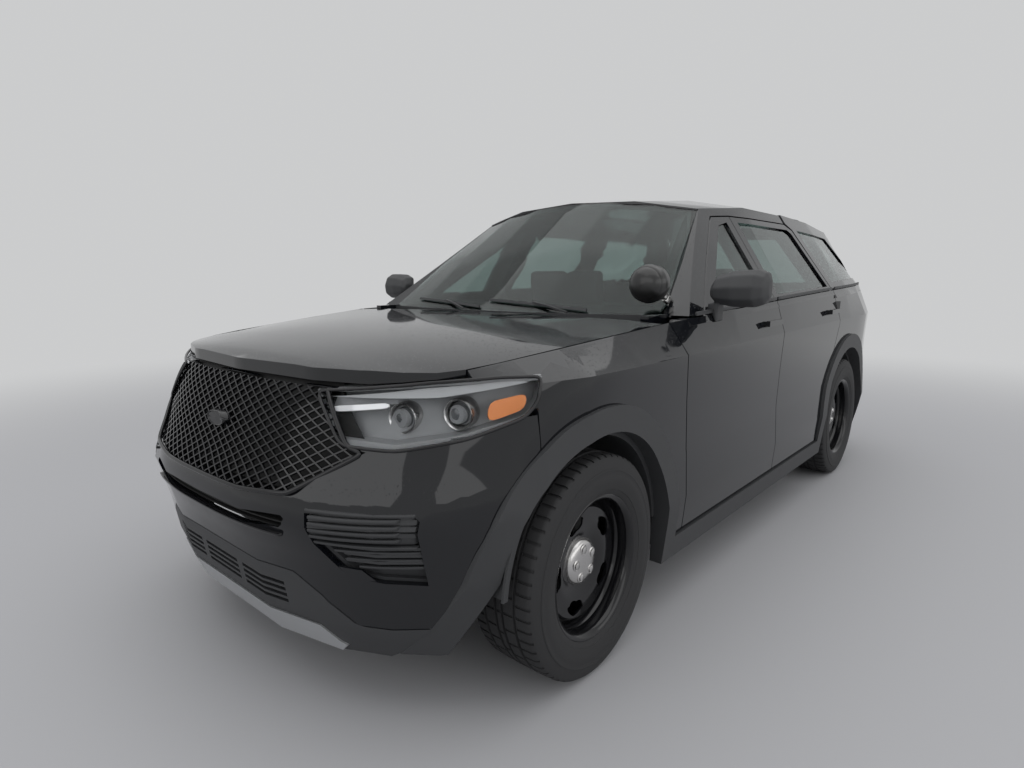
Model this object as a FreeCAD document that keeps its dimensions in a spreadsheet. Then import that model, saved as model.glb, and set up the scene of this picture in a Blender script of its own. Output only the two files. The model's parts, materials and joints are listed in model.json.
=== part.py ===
import FreeCAD, Part
import math
import os
import Sketcher

# Police patrol car: a mid-size utility with four side doors, a liftgate, steel wheels and a pillar spotlight.
# Row frame: +X forward, +Y to the left, +Z up, origin on the ground under the middle of the car. Millimetres.

V = FreeCAD.Vector
doc = FreeCAD.newDocument("patrol_car")

# Driving dimensions
sheet = doc.addObject("Spreadsheet::Sheet", "dims")
DIMENSIONS = [
    ("body_length", 5050, "nose to tail"),
    ("half_width", 985, "door skin at its crease"),
    ("wheel_base", 3025, "axle to axle"),
    ("front_overhang", 920, "front axle to nose"),
    ("track_width", 1700, "wheel centre to wheel centre"),
    ("tyre_radius", 381.5, "255/60R18"),
    ("tyre_width", 255, "widest part of the sidewall"),
    ("tread_width", 214, "flat of the tread"),
    ("bead_radius", 231, "inside of the tyre"),
    ("rim_flange_radius", 247, "outside of the rim flange"),
    ("rim_half_width", 112, "half of the rim with its flanges"),
    ("rim_well_radius", 205, "drop centre of the rim"),
    ("rim_wall", 8, "rolled steel of the rim"),
    ("disc_offset", 44, "wheel disc face from the wheel centre"),
    ("disc_wall", 9, "pressed steel of the wheel disc"),
    ("brake_radius", 172, "brake rotor"),
    ("brake_wall", 28, "vented rotor"),
    ("cap_radius", 62, "bright centre cap"),
    ("arch_radius", 460, "wheel opening"),
    ("arch_trim_width", 88, "moulding round the opening"),
    ("trim_stand", 15, "moulding proud of the skin"),
    ("shut_gap", 7, "door, hood and liftgate gaps"),
    ("hood_gap", 8, "gap round the hood"),
    ("seam_gap", 4, "gaps between fixed panels"),
    ("ground_clearance", 235, "rocker bottom"),
    ("sill_height", 330, "door bottom"),
    ("flare_height", 470, "lower door flare"),
    ("crease_height", 1035, "body side crease"),
    ("door_inner_y", 872, "door trim face"),
    ("frame_wall", 32, "door window frame"),
    ("glass_wall", 5, "side glass"),
    ("screen_wall", 8, "windscreen"),
    ("skin_wall", 14, "fender skin with its flange"),
    ("bumper_wall", 22, "bumper cover"),
    ("hood_wall", 26, "hood with its inner panel"),
    ("roof_wall", 38, "roof with its headliner"),
    ("side_plate_y", 822, "outer face of the inner side structure"),
    ("side_plate_wall", 34, "inner side structure"),
    ("floor_top", 350, "cabin floor"),
    ("floor_wall", 34, "floor with its ribs"),
    ("cargo_floor", 640, "load floor"),
    ("seat_width", 520, "front seat"),
    ("lamp_depth", 62, "headlamp bowl under the lens"),
    ("projector_radius", 27, "headlamp projector"),
    ("mesh_pitch", 116, "grille diamond width"),
    ("mesh_rise", 62, "grille diamond height"),
    ("mesh_bar", 9, "grille bar"),
    ("mesh_depth", 16, "grille bar depth"),
    ("oval_width", 116, "plain oval in the grille"),
    ("oval_height", 50, "plain oval in the grille"),
    ("turned_steps", 36, "flat steps round a wheel"),
    ("engine_length", 650, "engine block"),
    ("engine_width", 660, "engine block"),
    ("engine_height", 470, "engine block"),
    ("rear_seat_width", 1300, "rear bench"),
    ("dash_width", 1520, "dashboard"),
    ("spot_radius", 78, "spotlight bowl"),
    ("wheel_ring_radius", 188, "steering wheel"),
    ("hinge_pin_radius", 4, "door hinge pin"),
    ("hinge_play", 0.08, "running gap of a hinge"),
    ("hinge_set_back", 40, "door hinge axis behind the foot of its leading edge"),
]
for row, (alias, value, note) in enumerate(DIMENSIONS, 1):
    sheet.set("A%d" % row, alias)
    sheet.set("B%d" % row, str(value))
    sheet.set("C%d" % row, note)
    sheet.setAlias("B%d" % row, alias)
doc.recompute()


def dim(alias):
    return float(sheet.get(alias))


half_length = dim("body_length") / 2
half_width = dim("half_width")
front_axle = half_length - dim("front_overhang")
rear_axle = front_axle - dim("wheel_base")
tyre_radius = dim("tyre_radius")
arch_radius = dim("arch_radius")
arch_outer = arch_radius + dim("arch_trim_width")
trim_stand = dim("trim_stand")
shut_gap = dim("shut_gap")
hood_gap = dim("hood_gap")
seam_gap = dim("seam_gap")
rocker_z = dim("ground_clearance")
sill_z = dim("sill_height")
flare_z = dim("flare_height")
crease_z = dim("crease_height")
door_inner_y = dim("door_inner_y")
frame_wall = dim("frame_wall")
plate_y = dim("side_plate_y")
plate_wall = dim("side_plate_wall")
FAR = 1400.0


# Curves of the body
def smooth(x, table):
    """Value at x of a smooth curve through (x, value) pairs in rising x, with no overshoot."""
    if x <= table[0][0]:
        return table[0][1]
    if x >= table[-1][0]:
        return table[-1][1]
    xs = [p[0] for p in table]
    ys = [p[1] for p in table]
    steps = [b - a for a, b in zip(xs, xs[1:])]
    slopes = [(b - a) / s for a, b, s in zip(ys, ys[1:], steps)]
    tangents = [slopes[0]]
    for left, right in zip(slopes, slopes[1:]):
        tangents.append(0.0 if left * right <= 0 else 2 * left * right / (left + right))
    tangents.append(slopes[-1])
    for i, step in enumerate(steps):
        if x <= xs[i + 1]:
            u = (x - xs[i]) / step
            return (
                (2 * u**3 - 3 * u**2 + 1) * ys[i]
                + (u**3 - 2 * u**2 + u) * step * tangents[i]
                + (3 * u**2 - 2 * u**3) * ys[i + 1]
                + (u**3 - u**2) * step * tangents[i + 1]
            )


NOSE_SWEEP = 900.0
NOSE_POWER = 2.6
TAIL_SWEEP = 1000.0
TAIL_POWER = 3.4


def inset(z):
    """How far the skin lies inside the crease at a height."""
    return smooth(z, [(rocker_z, 34), (sill_z, 16), (flare_z, 5), (650, 13), (860, 8), (crease_z, 0)])


def nose_x(z):
    drop = smooth(
        z,
        [
            (200, 140),
            (330, 80),
            (430, 62),
            (520, 40),
            (600, 12),
            (650, 0),
            (710, 8),
            (800, 55),
            (900, 95),
            (1000, 140),
            (1060, 180),
        ],
    )
    return half_length - drop


def tail_x(z):
    drop = smooth(
        z, [(rocker_z, 110), (330, 45), (430, 8), (560, 0), (640, 8), (700, 25), (1060, 25)]
    )
    return -half_length + drop


def body_y(x, z):
    """Half-width of the body skin at a station and height, below the belt."""
    wide = half_width - inset(z)
    start = nose_x(z) - NOSE_SWEEP
    if x > start:
        share = min((x - start) / NOSE_SWEEP, 0.9999)
        return wide * (1 - share**NOSE_POWER) ** (1 / NOSE_POWER)
    start = tail_x(z) + TAIL_SWEEP
    if x < start:
        share = min((start - x) / TAIL_SWEEP, 0.9999)
        return wide * (1 - share**TAIL_POWER) ** (1 / TAIL_POWER)
    return wide


def belt_y(x):
    return smooth(
        x, [(-2385, 680), (-2300, 775), (-2200, 840), (-2000, 880), (-1500, 925), (-500, 944), (500, 944), (950, 925), (1600, 868), (2000, 812), (2150, 770)]
    )


def belt_z(x):
    return smooth(x, [(-2300, 1232), (-1100, 1216), (0, 1192), (950, 1162), (1600, 1118), (2000, 1086), (2150, 1070)])


def rail_y(x):
    """Half-width of the roof edge."""
    return smooth(x, [(-2250, 600), (-1700, 640), (-900, 662), (-200, 664), (250, 646), (900, 610)])


def rail_z(x):
    """Height of the roof edge; ahead of the roof it is only a guide for the pillar's plane."""
    return smooth(x, [(-2250, 1590), (-1700, 1640), (-1100, 1668), (-500, 1680), (-100, 1674), (250, 1644), (900, 1600)])


def roof_mid_z(x):
    return smooth(x, [(-2250, 1655), (-1700, 1716), (-1100, 1750), (-500, 1763), (0, 1756), (330, 1716)])


# Building blocks
def loft(sections, ruled=True):
    """Solid through closed sections; each is a list of points, with a run of points as a list inside it."""
    wires = []
    for section in sections:
        points = []
        for item in section:
            points.extend(item if isinstance(item, list) else [item])
        wires.append(Part.makePolygon(points + points[:1]))
    return Part.makeLoft(wires, True, ruled)


def box(x0, x1, y0, y1, z0, z1):
    return Part.makeBox(x1 - x0, y1 - y0, z1 - z0, V(x0, y0, z0))


def side_wire(outline):
    """Closed wire in the XZ plane from points (x, z); an arc is a pair of points, its middle and its end."""
    edges = []
    here = outline[0]
    for item in list(outline[1:]) + [outline[0]]:
        if isinstance(item[0], tuple):
            middle, end = item
            arc = Part.Arc(V(here[0], 0, here[1]), V(middle[0], 0, middle[1]), V(end[0], 0, end[1]))
            edges.append(arc.toShape())
            here = end
        elif item != here:
            edges.append(Part.makeLine(V(here[0], 0, here[1]), V(item[0], 0, item[1])))
            here = item
    return Part.Wire(edges)


def side_prism(wire, y0, y1, shear=0.0, grow=0.0):
    """Prism of a side-view wire between two half-widths; a shear moves it forward going inboard."""
    if grow:
        wire = wire.makeOffset2D(grow, 2)
    face = Part.Face(wire)
    face.translate(V((half_width - y1) * shear, y1, 0))
    return face.extrude(V((y1 - y0) * shear, y0 - y1, 0))


def plan_prism(points, z0, z1):
    wire = Part.makePolygon([V(x, y, z0) for x, y in points + points[:1]])
    return Part.Face(wire).extrude(V(0, 0, z1 - z0))


def front_prism(points, x0, x1):
    """Prism along X of an outline given as (y, z)."""
    wire = Part.makePolygon([V(x0, y, z) for y, z in points + points[:1]])
    return Part.Face(wire).extrude(V(x1 - x0, 0, 0))


def doubled(points):
    """Outline closed by its own mirror image in the middle plane, from the left half, top to bottom."""
    return points + [(-y, z) for y, z in reversed(points) if y > 0]


def mirrored(shape):
    return shape.mirror(V(0, 0, 0), V(0, 1, 0))


def both(shape):
    return Part.makeCompound([shape, mirrored(shape)])


def fused(*shapes):
    return shapes[0].fuse(list(shapes[1:]))


SUBPARTS = []


def add_shape(label, shape, tidy=True):
    feature = doc.addObject("Part::Feature", label)
    feature.Label = label
    feature.Shape = shape.removeSplitter() if tidy else shape
    feature.Placement = FreeCAD.Placement()
    SUBPARTS.append(feature)
    return feature


def add_pair(label, shape):
    """One solid a side, under one label."""
    add_shape(label, both(shape.removeSplitter()))


def add_sided(label, shape):
    """The same piece on the left and, mirrored, on the right, each under its own label."""
    add_shape(label + "_left", shape)
    add_shape(label + "_right", mirrored(shape))


# Side view outlines, driven by the doors' edges
door_front_x = 1030.0
door_foot_x = 975.0
pillar_b_x = -62.0
pillar_a_foot = (905.0, 1158.0)
pillar_a_head = (225.0, 1640.0)
pillar_a_width = 78.0
door_head_z = 1606.0
slant = 0.3


def green_y(x, share):
    return (belt_y(x) - 5) * (1 - share) + rail_y(x) * share


def skin_y(x, z):
    """Half-width of the outer skin at any height."""
    if z <= crease_z:
        return body_y(x, z)
    if z <= belt_z(x):
        share = (z - crease_z) / (belt_z(x) - crease_z)
        return body_y(x, crease_z) * (1 - share) + belt_y(x) * share
    return green_y(x, min((z - belt_z(x)) / (rail_z(x) - belt_z(x)), 1.0))


def sheared(points):
    """Points (x, z) moved so that a sheared prism cuts the outer skin at them."""
    return [(x - slant * (half_width - skin_y(x, z)), z) for x, z in points]


def pillar_line(offset, z):
    """Station of the windscreen pillar's edge line, moved back from the glass edge by an offset, at a height."""
    dx = pillar_a_head[0] - pillar_a_foot[0]
    dz = pillar_a_head[1] - pillar_a_foot[1]
    length = math.hypot(dx, dz)
    x0 = pillar_a_foot[0] + offset * dz / length * -1
    z0 = pillar_a_foot[1] + offset * dx / length
    return x0 + (z - z0) * dx / dz


def front_door_outline():
    top = belt_z(900)
    head = door_head_z
    points = [
        (door_foot_x, sill_z),
        (door_foot_x, 640),
        (door_front_x, crease_z),
        (door_front_x + 32, top),
        (pillar_line(pillar_a_width, top), top),
        (pillar_line(pillar_a_width, head), head),
        (pillar_b_x - 8, head + 11),
        (pillar_b_x, belt_z(0)),
        (pillar_b_x - 6, 700),
        (pillar_b_x - 16, sill_z),
    ]
    return side_wire(sheared(points))


def rear_door_outline():
    head = door_head_z
    edge = pillar_b_x - shut_gap
    arc_r = arch_outer + 8
    top_z = tyre_radius + 0.72 * arc_r
    foot_z = flare_z - 60
    top_x = rear_axle + math.sqrt(arc_r**2 - (top_z - tyre_radius) ** 2)
    foot_x = rear_axle + math.sqrt(arc_r**2 - (foot_z - tyre_radius) ** 2)
    turn = (math.asin(0.72) + math.asin((foot_z - tyre_radius) / arc_r)) / 2
    points = [
        (edge - 16, sill_z),
        (edge - 6, 700),
        (edge, belt_z(0)),
        (edge - 8, head + 11),
        (-930, head + 6),
        (-1010, head - 28),
        (-1122, belt_z(-1100)),
        (-1118, 1000),
        (top_x, top_z),
        (rear_axle + arc_r * math.cos(turn), tyre_radius + arc_r * math.sin(turn)),
        (foot_x, foot_z),
        (foot_x, sill_z),
    ]
    points = sheared(points)
    return side_wire(points[:9] + [(points[9], points[10])] + points[11:])


def arch_outline(axle, radius, way):
    """Wheel opening: round over the wheel, opening out towards the bumper (way 1 ahead, -1 behind)."""
    low = 0.0
    rise = tyre_radius + radius * math.sin(0.2)
    lip = (axle + way * radius * math.cos(0.2), rise)
    toe = (lip[0] + way * 0.36 * (rise - low), low)
    heel = (axle - way * radius, low)
    return side_wire([heel, (axle - way * radius, tyre_radius), ((axle, tyre_radius + radius), lip), toe])


front_door_wire = front_door_outline()
rear_door_wire = rear_door_outline()
front_arch_wire = arch_outline(front_axle, arch_radius, 1)
rear_arch_wire = arch_outline(rear_axle, arch_radius, -1)
front_trim_wire = arch_outline(front_axle, arch_outer, 1)
rear_trim_wire = arch_outline(rear_axle, arch_outer, -1)

# Skins of the left side
SIDE_ROWS = (flare_z, 660, 860, crease_z)


def lower_section(x, z0, inner_y, proud=0.0):
    """Closed section of the lower body side: flare, hollow side, shoulder, flat inner face."""
    side = [V(x, body_y(x, z) + proud, z) for z in (z0,) + tuple(row for row in SIDE_ROWS if row > z0)]
    top = V(x, belt_y(x), belt_z(x))
    return side + [top, V(x, inner_y, belt_z(x)), V(x, inner_y, z0)]


def fender_section(x, z0):
    """Section of a fender or quarter skin: a thin side, a thicker shoulder with a ledge for the hood or glass."""
    side = [V(x, body_y(x, z), z) for z in (z0,) + SIDE_ROWS]
    inner_y = min(p.y for p in side) - dim("skin_wall")
    y = belt_y(x)
    z = belt_z(x)
    ledge = [V(x, y, z), V(x, y, z - 45), V(x, y - 60, z - 45), V(x, y - 60, z - 57), V(x, y - 14, z - 57)]
    return side + ledge + [V(x, inner_y, crease_z - 16), V(x, inner_y, z0)]


def green_point(x, share, depth):
    """Point of the glasshouse side, from belt (share 0) to roof edge (share 1), moved in by a depth."""
    return V(x, green_y(x, share) - depth, belt_z(x) * (1 - share) + rail_z(x) * share)


def green_block(stations, d0, d1, low=-0.06, high=1.0):
    corners = ((low, d0), (high, d0), (high, d1), (low, d1))
    return loft([[green_point(x, share, depth) for share, depth in corners] for x in stations])


side_stations = (1110, 500, -300, -1250)
glass_stations = (920, 300, -300, -1250)
door_mass = loft([lower_section(x, sill_z, door_inner_y) for x in side_stations])
door_mass = door_mass.fuse(green_block(glass_stations, 0, frame_wall))
glass_block = green_block(glass_stations, 12, 12 + dim("glass_wall"), 0.0)
front_window = [
    (pillar_line(pillar_a_width + 50, 1226), 1226),
    (pillar_line(pillar_a_width + 50, 1566), 1566),
    (pillar_b_x + 58, 1586),
    (pillar_b_x + 62, 1222),
]
rear_window = [(pillar_b_x - 70, 1224), (pillar_b_x - 74, 1590), (-905, 1580), (-955, 1558), (-1062, 1240)]
front_window_wire = side_wire(front_window)
rear_window_wire = side_wire(rear_window)
hinge_heights = (470.0, 990.0)
hinge_y = half_width - 17


def hinge_pocket(x, z):
    """Room in the door's leading edge for the body's hinge bracket."""
    return box(x - 18, x + 160, door_inner_y - 40, hinge_y + 7.5, z - 30, z + 30)


def hinge_leaf(x, z):
    """Door leaf with a hole for the pin."""
    leaf = box(x - 30, x + 7, hinge_y - 7, hinge_y + 7, z - 6, z + 6)
    pin = Part.makeCylinder(dim("hinge_pin_radius") + dim("hinge_play"), 24, V(x, hinge_y, z - 12))
    return leaf.cut(pin)


def hinge_bracket(x, z, root_y):
    """Clevis of the body with its pin, on an arm from the inner side structure."""
    arm = box(x - 5.5, x + 5.5, root_y, hinge_y + 3.5, z - 22, z + 22)
    slot = box(x - 40, x + 30, hinge_y - 26, hinge_y + 20, z - 6.3, z + 6.3)
    pin = Part.makeCylinder(dim("hinge_pin_radius"), 40, V(x, hinge_y, z - 20))
    return arm.cut(slot).fuse(pin)


def side_door(wire, window_wire, hinge_x):
    blank = door_mass.common(side_prism(wire, 500, FAR, slant))
    blank = blank.cut(side_prism(window_wire, 500, FAR))
    for z in hinge_heights:
        blank = blank.cut(hinge_pocket(hinge_x, z)).fuse(hinge_leaf(hinge_x, z))
    return blank


def door_handle(x):
    """Pull handle on the shoulder, with two feet on the door's skin."""
    z = 1098.0
    y = skin_y(x, z)
    bar = box(x - 95, x + 95, y + 14, y + 30, z - 13, z + 13)
    feet = [box(x + d - 14, x + d + 14, y - 20, y + 18, z - 10, z + 10) for d in (-74, 74)]
    return fused(bar, *feet)


front_hinge_x = door_foot_x - dim("hinge_set_back")
rear_hinge_x = pillar_b_x - shut_gap - 16 - dim("hinge_set_back")
front_corner = plan_prism([(front_hinge_x - 5, 862), (front_hinge_x + 265, 862), (front_hinge_x + 265, 970)], 0, 1400)
door_front = side_door(front_door_wire, front_window_wire, front_hinge_x).cut(front_corner)
rear_corner = plan_prism([(rear_hinge_x - 5, 862), (rear_hinge_x + 265, 862), (rear_hinge_x + 265, 970)], 0, 1400)
door_rear = side_door(rear_door_wire, rear_window_wire, rear_hinge_x).cut(rear_corner)
add_sided("door_front", door_front.fuse(door_handle(95)))
add_sided("door_rear", door_rear.fuse(door_handle(-970)))
add_sided("glass_front", glass_block.common(side_prism(front_window_wire, 500, FAR)))
add_sided("glass_rear", glass_block.common(side_prism(rear_window_wire, 500, FAR)))


def mirror_head():
    """Door mirror on a short stalk at the window's front corner."""
    sections = []
    rows = ((925, 668, 726, 1236, 1288), (945, 628, 744, 1212, 1328), (1010, 606, 752, 1200, 1346),
            (1090, 604, 742, 1200, 1350), (1122, 614, 716, 1212, 1336), (1137, 640, 680, 1240, 1308))
    for y, x0, x1, z0, z1 in rows:
        mid = (z0 + z1) / 2
        nose = [V(x0 + (x1 - x0) * a, y, mid + (z1 - mid) * b) for a, b in ((0.55, 1), (0.85, 0.72), (1, 0.1), (0.94, -0.6))]
        sections.append([V(x0, y, z0 + 6), V(x0, y, z1 - 6), V(x0 + 12, y, z1)] + nose + [V(x0 + 0.6 * (x1 - x0), y, z0)])
    stalk = box(640, 712, 915, 955, 1140, 1216)
    return loft(sections).fuse(stalk)


mirror = mirror_head().cut(door_front)
add_sided("mirror", Part.makeCompound([max(mirror.Solids, key=lambda solid: solid.Volume)]))


# Nose and tail shells, cut into their pieces by prisms
def bow(z, turn, depth, front):
    """Point of the front or rear end at a height; turn runs from the left side (1) over the middle (0)."""
    power = NOSE_POWER if front else TAIL_POWER
    sweep = NOSE_SWEEP if front else TAIL_SWEEP
    end = nose_x(z) if front else tail_x(z)
    way = 1 if front else -1
    angle = abs(turn) * math.pi / 2
    reach = (sweep - depth) * max(math.cos(angle), 0.0) ** (2 / power)
    wide = (half_width - inset(z) - depth) * math.sin(angle) ** (2 / power)
    return V(end - way * sweep + way * reach, math.copysign(wide, turn), z)


TURNS = (-1, -0.9, -0.8, -0.7, -0.58, -0.45, -0.3, -0.12, 0.12, 0.3, 0.45, 0.58, 0.7, 0.8, 0.9, 1)


def end_shell(heights, front, depth, wall):
    """Shell round the nose or tail from a depth under the skin, ruled between heights."""
    sections = []
    for z in heights:
        outer = [bow(z, t, depth, front) for t in TURNS]
        inner = [bow(z, t, depth + wall, front) for t in reversed(TURNS)]
        sections.append([outer[0], outer[1:], inner[0], inner[1:]])
    return loft(sections, True)


def corner_prism(points):
    """Prism across the left front corner, from points (s, z) with s measured across the corner."""
    root = math.sqrt(0.5)
    base = [V(300 - s * root, 300 + s * root, z) for s, z in points]
    wire = Part.makePolygon(base + base[:1])
    return Part.Face(wire).extrude(V(1400, 1400, 0))


def sorted_ring(points):
    """Points of a convex outline in order round their middle."""
    mid_a = sum(a for a, b in points) / len(points)
    mid_b = sum(b for a, b in points) / len(points)
    return sorted(points, key=lambda p: math.atan2(p[1] - mid_b, p[0] - mid_a))


nose_heights = (200, 330, 470, 650, 760, 900, 1060)
bumper_wall = dim("bumper_wall")
nose_skin = end_shell(nose_heights, True, 0, bumper_wall)
lamp_outline = [
    (-1334, 1017),
    (-1257, 877),
    (-1100, 868),
    (-900, 897),
    (-729, 944),
    (-690, 985),
    (-677, 1056),
    (-803, 1060),
    (-1000, 1050),
]
grille_outline = doubled([(0, 1032), (300, 1030), (478, 1024), (592, 872), (640, 862), (455, 733), (250, 716), (0, 706)])
slot_outline = doubled([(0, 652), (250, 656), (432, 668), (446, 660), (436, 640), (420, 628), (250, 610), (0, 600)])
bezel_outline = [(516, 690), (700, 702), (776, 700), (792, 684), (790, 484), (610, 500), (540, 600)]
lower_outline = doubled([(0, 478), (420, 478), (520, 420), (600, 338), (620, 200), (0, 200)])
lamp_prism = corner_prism(lamp_outline)
lamp_prisms = both(lamp_prism)
arch_cut = both(side_prism(front_trim_wire, 500, FAR))
bumper_edge = doubled([(0, 1033), (480, 1026), (640, 880), (820, 930), (1000, 955), (1000, 345), (600, 334), (0, 334)])
painted = nose_skin.common(front_prism(bumper_edge, 1909, 2600))
for cutter in (
    front_prism(grille_outline, 1900, 2600),
    front_prism(slot_outline, 1900, 2600),
    both(front_prism(bezel_outline, 1900, 2600)),
    front_prism(lower_outline, 1800, 2600),
    lamp_prisms,
    arch_cut,
):
    painted = painted.cut(cutter)
add_shape("front_bumper", painted)

fascia_edge = doubled([(0, 474), (416, 474), (516, 416), (592, 338), (620, 330), (1000, 341), (1000, 215), (0, 215)])
lip_edge = doubled([(0, 300), (470, 300), (540, 240), (500, 200), (0, 200)])
fascia = nose_skin.common(front_prism(fascia_edge, 1800, 2600)).cut(arch_cut)
fascia = fascia.cut(front_prism(lip_edge, 1800, 2600)).cut(painted)
for y0, y1 in ((-364, -146), (-112, 112), (146, 364)):
    for z in (348, 369, 390, 411):
        fascia = fascia.cut(box(2200, 2600, y0, y1, z, z + 12))
add_shape("lower_fascia", fascia)
lip_shell = end_shell(nose_heights, True, -6, bumper_wall + 6)
add_shape("skid_plate", lip_shell.common(front_prism(lip_edge, 1800, 2600)).common(box(1800, 2700, -999, 999, 212, 400)))
add_pair("lamp_lenses", end_shell(nose_heights, True, 0, 12).common(lamp_prism))
lamp_bowl = end_shell(nose_heights, True, dim("lamp_depth"), 10).common(lamp_prism)
lamp_rim = end_shell(nose_heights, True, 12, dim("lamp_depth")).common(lamp_prism)
lamp_mouth = sorted_ring([(s * 0.975 - 24, 965 + (z - 965) * 0.84) for s, z in lamp_outline])
lamp_rim = lamp_rim.cut(corner_prism(lamp_mouth))


def projector(x, y, z):
    """Projector barrel with a bezel ring round its lens."""
    barrel = Part.makeCylinder(dim("projector_radius"), 70, V(x - 60, y, z), V(1, 0, 0))
    bezel = Part.makeCylinder(dim("projector_radius") + 9, 12, V(x - 26, y, z), V(1, 0, 0))
    return barrel.fuse(bezel)


light_bar = end_shell(nose_heights, True, 26, dim("lamp_depth") - 20)
light_bar = light_bar.common(front_prism([(486, 974), (660, 986), (660, 1003), (486, 996)], 1900, 2600))
housing = fused(lamp_bowl, lamp_rim, light_bar, projector(2190, 664, 944), projector(2086, 786, 956))
add_pair("headlamps", housing)

# Grille: a curved panel pierced by a diamond lattice, with a plain oval place in its middle
mesh_pitch = dim("mesh_pitch")
mesh_rise = dim("mesh_rise")
mesh_bar = dim("mesh_bar")


def diamond(y, z):
    half = mesh_pitch / 2 - mesh_bar
    tall = (mesh_rise / 2 - mesh_bar * mesh_rise / mesh_pitch)
    return front_prism([(y - half, z), (y, z + tall), (y + half, z), (y, z - tall)], 2050, 2600)


def diamond_lattice(z_mid, reach_y, reach_z):
    """Prisms through every cell of two crossing rows of bars."""
    cells = []
    rows = int(2 * reach_z / mesh_rise)
    columns = int(reach_y / mesh_pitch) + 1
    for row in range(-rows, rows + 1):
        shift = 0.5 * (row % 2)
        for column in range(-columns, columns + 1):
            y = (column + shift) * mesh_pitch
            z = z_mid + row * mesh_rise / 2
            if abs(y) < reach_y and abs(z - z_mid) < reach_z:
                cells.append(diamond(y, z))
    return Part.makeCompound(cells)


def shrunk(outline, y_mid, z_mid, edge):
    """Outline moved in by about an edge width."""
    points = []
    for y, z in outline:
        reach = math.hypot(y - y_mid, z - z_mid)
        points.append((y + (y_mid - y) * edge / reach, z + (z_mid - z) * edge / reach))
    return points


grille_plate = end_shell(nose_heights, True, 14, dim("mesh_depth"))
grille_plate = grille_plate.common(front_prism(grille_outline, 1900, 2600)).cut(lamp_prisms)
mesh_mouth = front_prism(shrunk(grille_outline, 0, 872, 22), 1900, 2600)
grille_mesh = grille_plate.cut(diamond_lattice(876, 560, 150).common(mesh_mouth))
oval = Part.makeCylinder(1, 60, V(2380, 0, 0), V(1, 0, 0))
stretch = FreeCAD.Matrix()
stretch.A22 = dim("oval_width") / 2
stretch.A33 = dim("oval_height") / 2
oval = oval.transformGeometry(stretch)
oval.translate(V(0, 0, 884))
grille_mesh = grille_mesh.fuse(oval)
add_shape("grille", grille_mesh)

# Fog bezels: a recessed panel with three bars over three louvres
bezel_back = end_shell(nose_heights, True, 34, 8).common(front_prism(bezel_outline, 1900, 2600))
bezel_bars = end_shell(nose_heights, True, 6, 30).common(front_prism(bezel_outline, 1900, 2600))
strips = [[(528, z), (690, z + 6), (782, z + 6), (782, z + 19), (690, z + 19), (528, z + 13)] for z in (630, 649, 668)]
strips += [[(612, z), (789, z), (789, z + 9), (608, z + 9)] for z in (552, 574, 596)]
for strip in strips:
    bezel_back = bezel_back.fuse(bezel_bars.common(front_prism(strip, 1900, 2600)))
bezel_side = end_shell(nose_heights, True, 20, 20).common(front_prism(bezel_outline, 1900, 2600))
bezel_side = bezel_side.cut(front_prism(shrunk(bezel_outline, 690, 600, 14), 1900, 2600))
add_pair("fog_bezels", bezel_back.fuse(bezel_side))

# Fenders
fender_stations = (965, 1037, 1400, 1700, 1900, 2030, 2120)
fender = loft([fender_section(x, sill_z - 3) for x in fender_stations])
fender = fender.cut(side_prism(front_trim_wire, 500, FAR))
fender = fender.cut(side_prism(front_door_wire, 500, FAR, slant, shut_gap))
fender = fender.cut(corner_prism([(s * 1.0, z) for s, z in lamp_outline]))
fender = fender.cut(box(1905, 2300, 0, 1100, 0, 965)).cut(box(2060, 2300, 0, 1100, 0, 1300))
fender = fender.cut(box(900, 1160, 0, 895, 1050, 1300)).cut(box(900, 1037, 0, 936, 0, 1300))
for x in (1240, 1880):
    fender = fender.fuse(box(x - 30, x + 30, 700, belt_y(x) - 20, 940, belt_z(x) - 50))
fender = max(fender.Solids, key=lambda solid: solid.Volume)
add_pair("front_fenders", fender)


# Hood
def hood_mid_z(x):
    return smooth(x, [(1000, 1174), (1400, 1161), (1800, 1142), (2100, 1117), (2250, 1098), (2340, 1076)])


def hood_point(x, share, depth):
    """Point of the hood surface; share runs from -1 to 1 between its side edges."""
    edge = belt_z(min(x, 2150)) - max(x - 2150, 0) * 0.1
    lift = (hood_mid_z(x) - edge) * (1 - abs(share) ** 2.4)
    return V(x, share * (belt_y(x) + 4), edge + lift - depth)


def hood_slab(z_low, depth):
    """Solid under the hood surface, down to a level, or a shell of a thickness when the level is None."""
    shares = (-1, -0.75, -0.4, 0, 0.4, 0.75, 1)
    sections = []
    for x in (1000, 1300, 1700, 2050, 2250, 2360):
        top = [hood_point(x, s, depth) for s in shares]
        if z_low is None:
            under = [hood_point(x, s, depth + dim("hood_wall")) for s in reversed(shares)]
        else:
            under = [V(x, p.y, z_low) for p in reversed(top)]
            under = [under[0], under[-1]]
        sections.append([top[0], top[1:]] + (under if z_low is not None else [under[0], under[1:]]))
    return loft(sections)


def hood_outline(inward):
    """Plan of the hood: curved rear edge, sides along the shoulders, round front."""
    sides = [(x, belt_y(x) - hood_gap - inward) for x in (1104, 1300, 1700, 1950, 2060)]
    front = []
    for turn in (0.5, 0.42, 0.32, 0.2):
        p = bow(1050, turn, hood_gap + inward, True)
        front.append((p.x, p.y))
    rear = [(1110, 0), (1098, 450), (1080, 760)]
    half = rear + sides + front
    middle = bow(1050, 0.0, hood_gap + inward, True)
    return half, (middle.x, 0.0)


def hood_prism(inward, z0, z1):
    half, middle = hood_outline(inward)
    points = half + [middle] + [(x, -y) for x, y in reversed(half) if y > 0]
    return plan_prism(points, z0, z1)


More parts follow.
